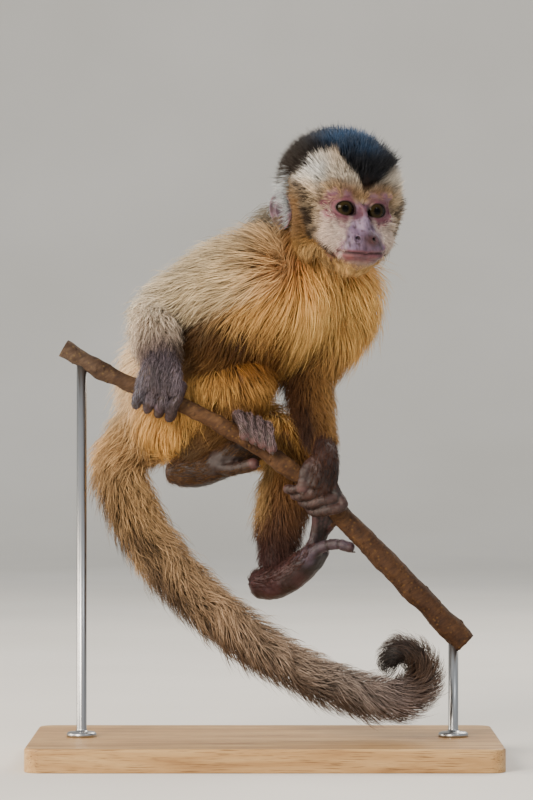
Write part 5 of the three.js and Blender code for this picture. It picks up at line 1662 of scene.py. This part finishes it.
def rounded_box(long, deep, high, corner, bevel, steps=8):
    """A flat board with round corners and softened edges, standing on the ground."""
    turn = []
    for quarter, (sx, sy) in enumerate(((1, 1), (-1, 1), (-1, -1), (1, -1))):
        for i in range(steps + 1):
            angle = (quarter + i / steps) * math.pi / 2
            centre = (sx * (long / 2 - corner), sy * (deep / 2 - corner))
            turn.append((*centre, math.cos(angle), math.sin(angle)))
    turn = np.array(turn)
    rings = []
    levels = [(0.6, 0.0), (0.15, 0.15), (0.0, 0.6)]
    for angle in np.linspace(math.pi / 2, 0, 6):
        levels.append((bevel * (1 - math.sin(angle)), high - bevel * (1 - math.cos(angle))))
    for inset, z in levels:
        reach = corner - inset
        rings.append(np.stack([turn[:, 0] + turn[:, 2] * reach, turn[:, 1] + turn[:, 3] * reach,
                               np.full(len(turn), z)], 1))
    return loft(rings, np.array([0, 0, 0.0]), np.array([0, 0, float(high)]))


def build_stand():
    """The oak base and the two rods under the branch, each with a foot and two countersunk screws."""
    points, faces = rounded_box(**BASE)
    board = piece("oak_base", points, faces, OAK)
    board.data.shade_flat()
    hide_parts("stand_base")
    for side in ("left", "right"):
        x = ROD[side]
        at, _, wide = over_branch(x)
        bottom = BASE["high"]
        foot, high, radius = ROD["foot"], ROD["foot_high"], ROD["radius"]
        top = at[2] - wide * 0.6
        profile = [(foot, bottom), (foot, bottom + high * 0.55), (foot - 0.5, bottom + high * 0.85),
                   (foot - 1.3, bottom + high), (radius + 1.2, bottom + high + 0.3),
                   (radius + 0.3, bottom + high + 0.9), (radius, bottom + high + 1.8), (radius, top)]
        points, faces = loft([disc(x, 0, r, z) for r, z in profile],
                             np.array([x, 0, bottom]), np.array([x, 0, top]))
        rod = piece("steel_rod_" + side, points, faces, STEEL)
        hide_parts("stand_rod_" + side)
        screws = []
        for way in (-1, 1):
            centre = np.array([x, way * 6.2, bottom + high])
            rings = [disc(x, way * 6.2, r, bottom + high + z)
                     for r, z in ((1.35, -0.5), (1.35, 0.12), (1.1, 0.3), (0.55, 0.34), (0.5, 0.05))]
            screws.append(loft(rings, centre + [0, 0, -0.5], centre + [0, 0, 0.05]))
        points, faces = merged(screws)
        piece("foot_screws_" + side, points, faces, STEEL)


# ---------------------------------------------------------------- floor, light and camera
def build_studio():
    """The floor that curves up into a wall, the world, four lights and the camera."""
    floor_material, tree, shader = material("pale_floor", colour="#e4e2dd", roughness=0.85)
    place = node(tree, "ShaderNodeTexCoord").outputs["Object"]
    dust = node(tree, "ShaderNodeTexNoise", {"Vector": place}, Scale=3.0, Detail=3.0)
    colour = ramp(tree, dust.outputs["Fac"], [(0.3, "#dddbd5"), (0.7, "#e6e4df")])
    tree.links.new(colour, shader.inputs["Base Color"])
    turn = np.linspace(0, math.pi / 2, 14)
    rise = [(2600 + 1200 * math.sin(a), 1200 * (1 - math.cos(a))) for a in turn]
    profile = [(-4000, 0), *rise, (3800, 5200)]
    rows = [np.array([(x, y, z) for y, z in profile]) for x in (-6000, 6000)]
    count = len(profile)
    faces = [(i, i + 1, count + i + 1, count + i) for i in range(count - 1)]
    floor = piece("floor", np.concatenate(rows), np.array(faces)[:, ::-1], floor_material, body=None)
    world = bpy.data.worlds.new("studio")
    bpy.context.scene.world = world
    world.use_nodes = True
    sky = world.node_tree.nodes["Background"]
    sky.inputs["Color"].default_value = (*linear("#f1f3f5"), 1)
    sky.inputs["Strength"].default_value = 0.7
    for name, at, size, power, colour in (
            ("key_light", (-0.95, -1.45, 1.0), 0.8, 50, "#fff1df"),
            ("side_light", (-1.5, 0.05, 0.6), 0.8, 22, "#ffeed8"),
            ("rim_light", (0.7, 1.1, 1.2), 0.8, 18, "#fff6ea"),
            ("small_light", (0.9, -1.05, 1.15), 0.14, 2.2, "#ffffff")):
        lamp = bpy.data.lights.new(name, "AREA")
        lamp.size = size
        lamp.energy = power
        lamp.color = tuple(linear(colour))
        thing = bpy.data.objects.new(name, lamp)
        thing.location = at
        aim = Vector((0.0, 0.02, 0.24)) - Vector(at)
        thing.rotation_euler = aim.to_track_quat("-Z", "Y").to_euler()
        bpy.context.scene.collection.objects.link(thing)
    camera = bpy.data.cameras.new("camera")
    camera.sensor_fit = "VERTICAL"
    camera.sensor_height = 24
    # The view is 480 mm high at the model, 2.2 m away.
    camera.lens = camera.sensor_height / 2 / (240 / 2200)
    camera.clip_start = 0.05
    camera.clip_end = 50
    view = bpy.data.objects.new("camera", camera)
    view.location = (0.0009, -2.2, 0.216)
    view.rotation_euler = (math.pi / 2, 0, 0)
    bpy.context.scene.collection.objects.link(view)
    bpy.context.scene.camera = view


body = build_body()
head = build_head()
build_eyes()
skins = build_hands_and_feet()
build_body_coat(*body)
build_ear_hairs(build_head_coat(*head))
build_hand_hairs(skins)
build_branch()
build_stand()
build_studio()

print("coat", COAT_PIECES, sum(count for _, count in COAT_PIECES))
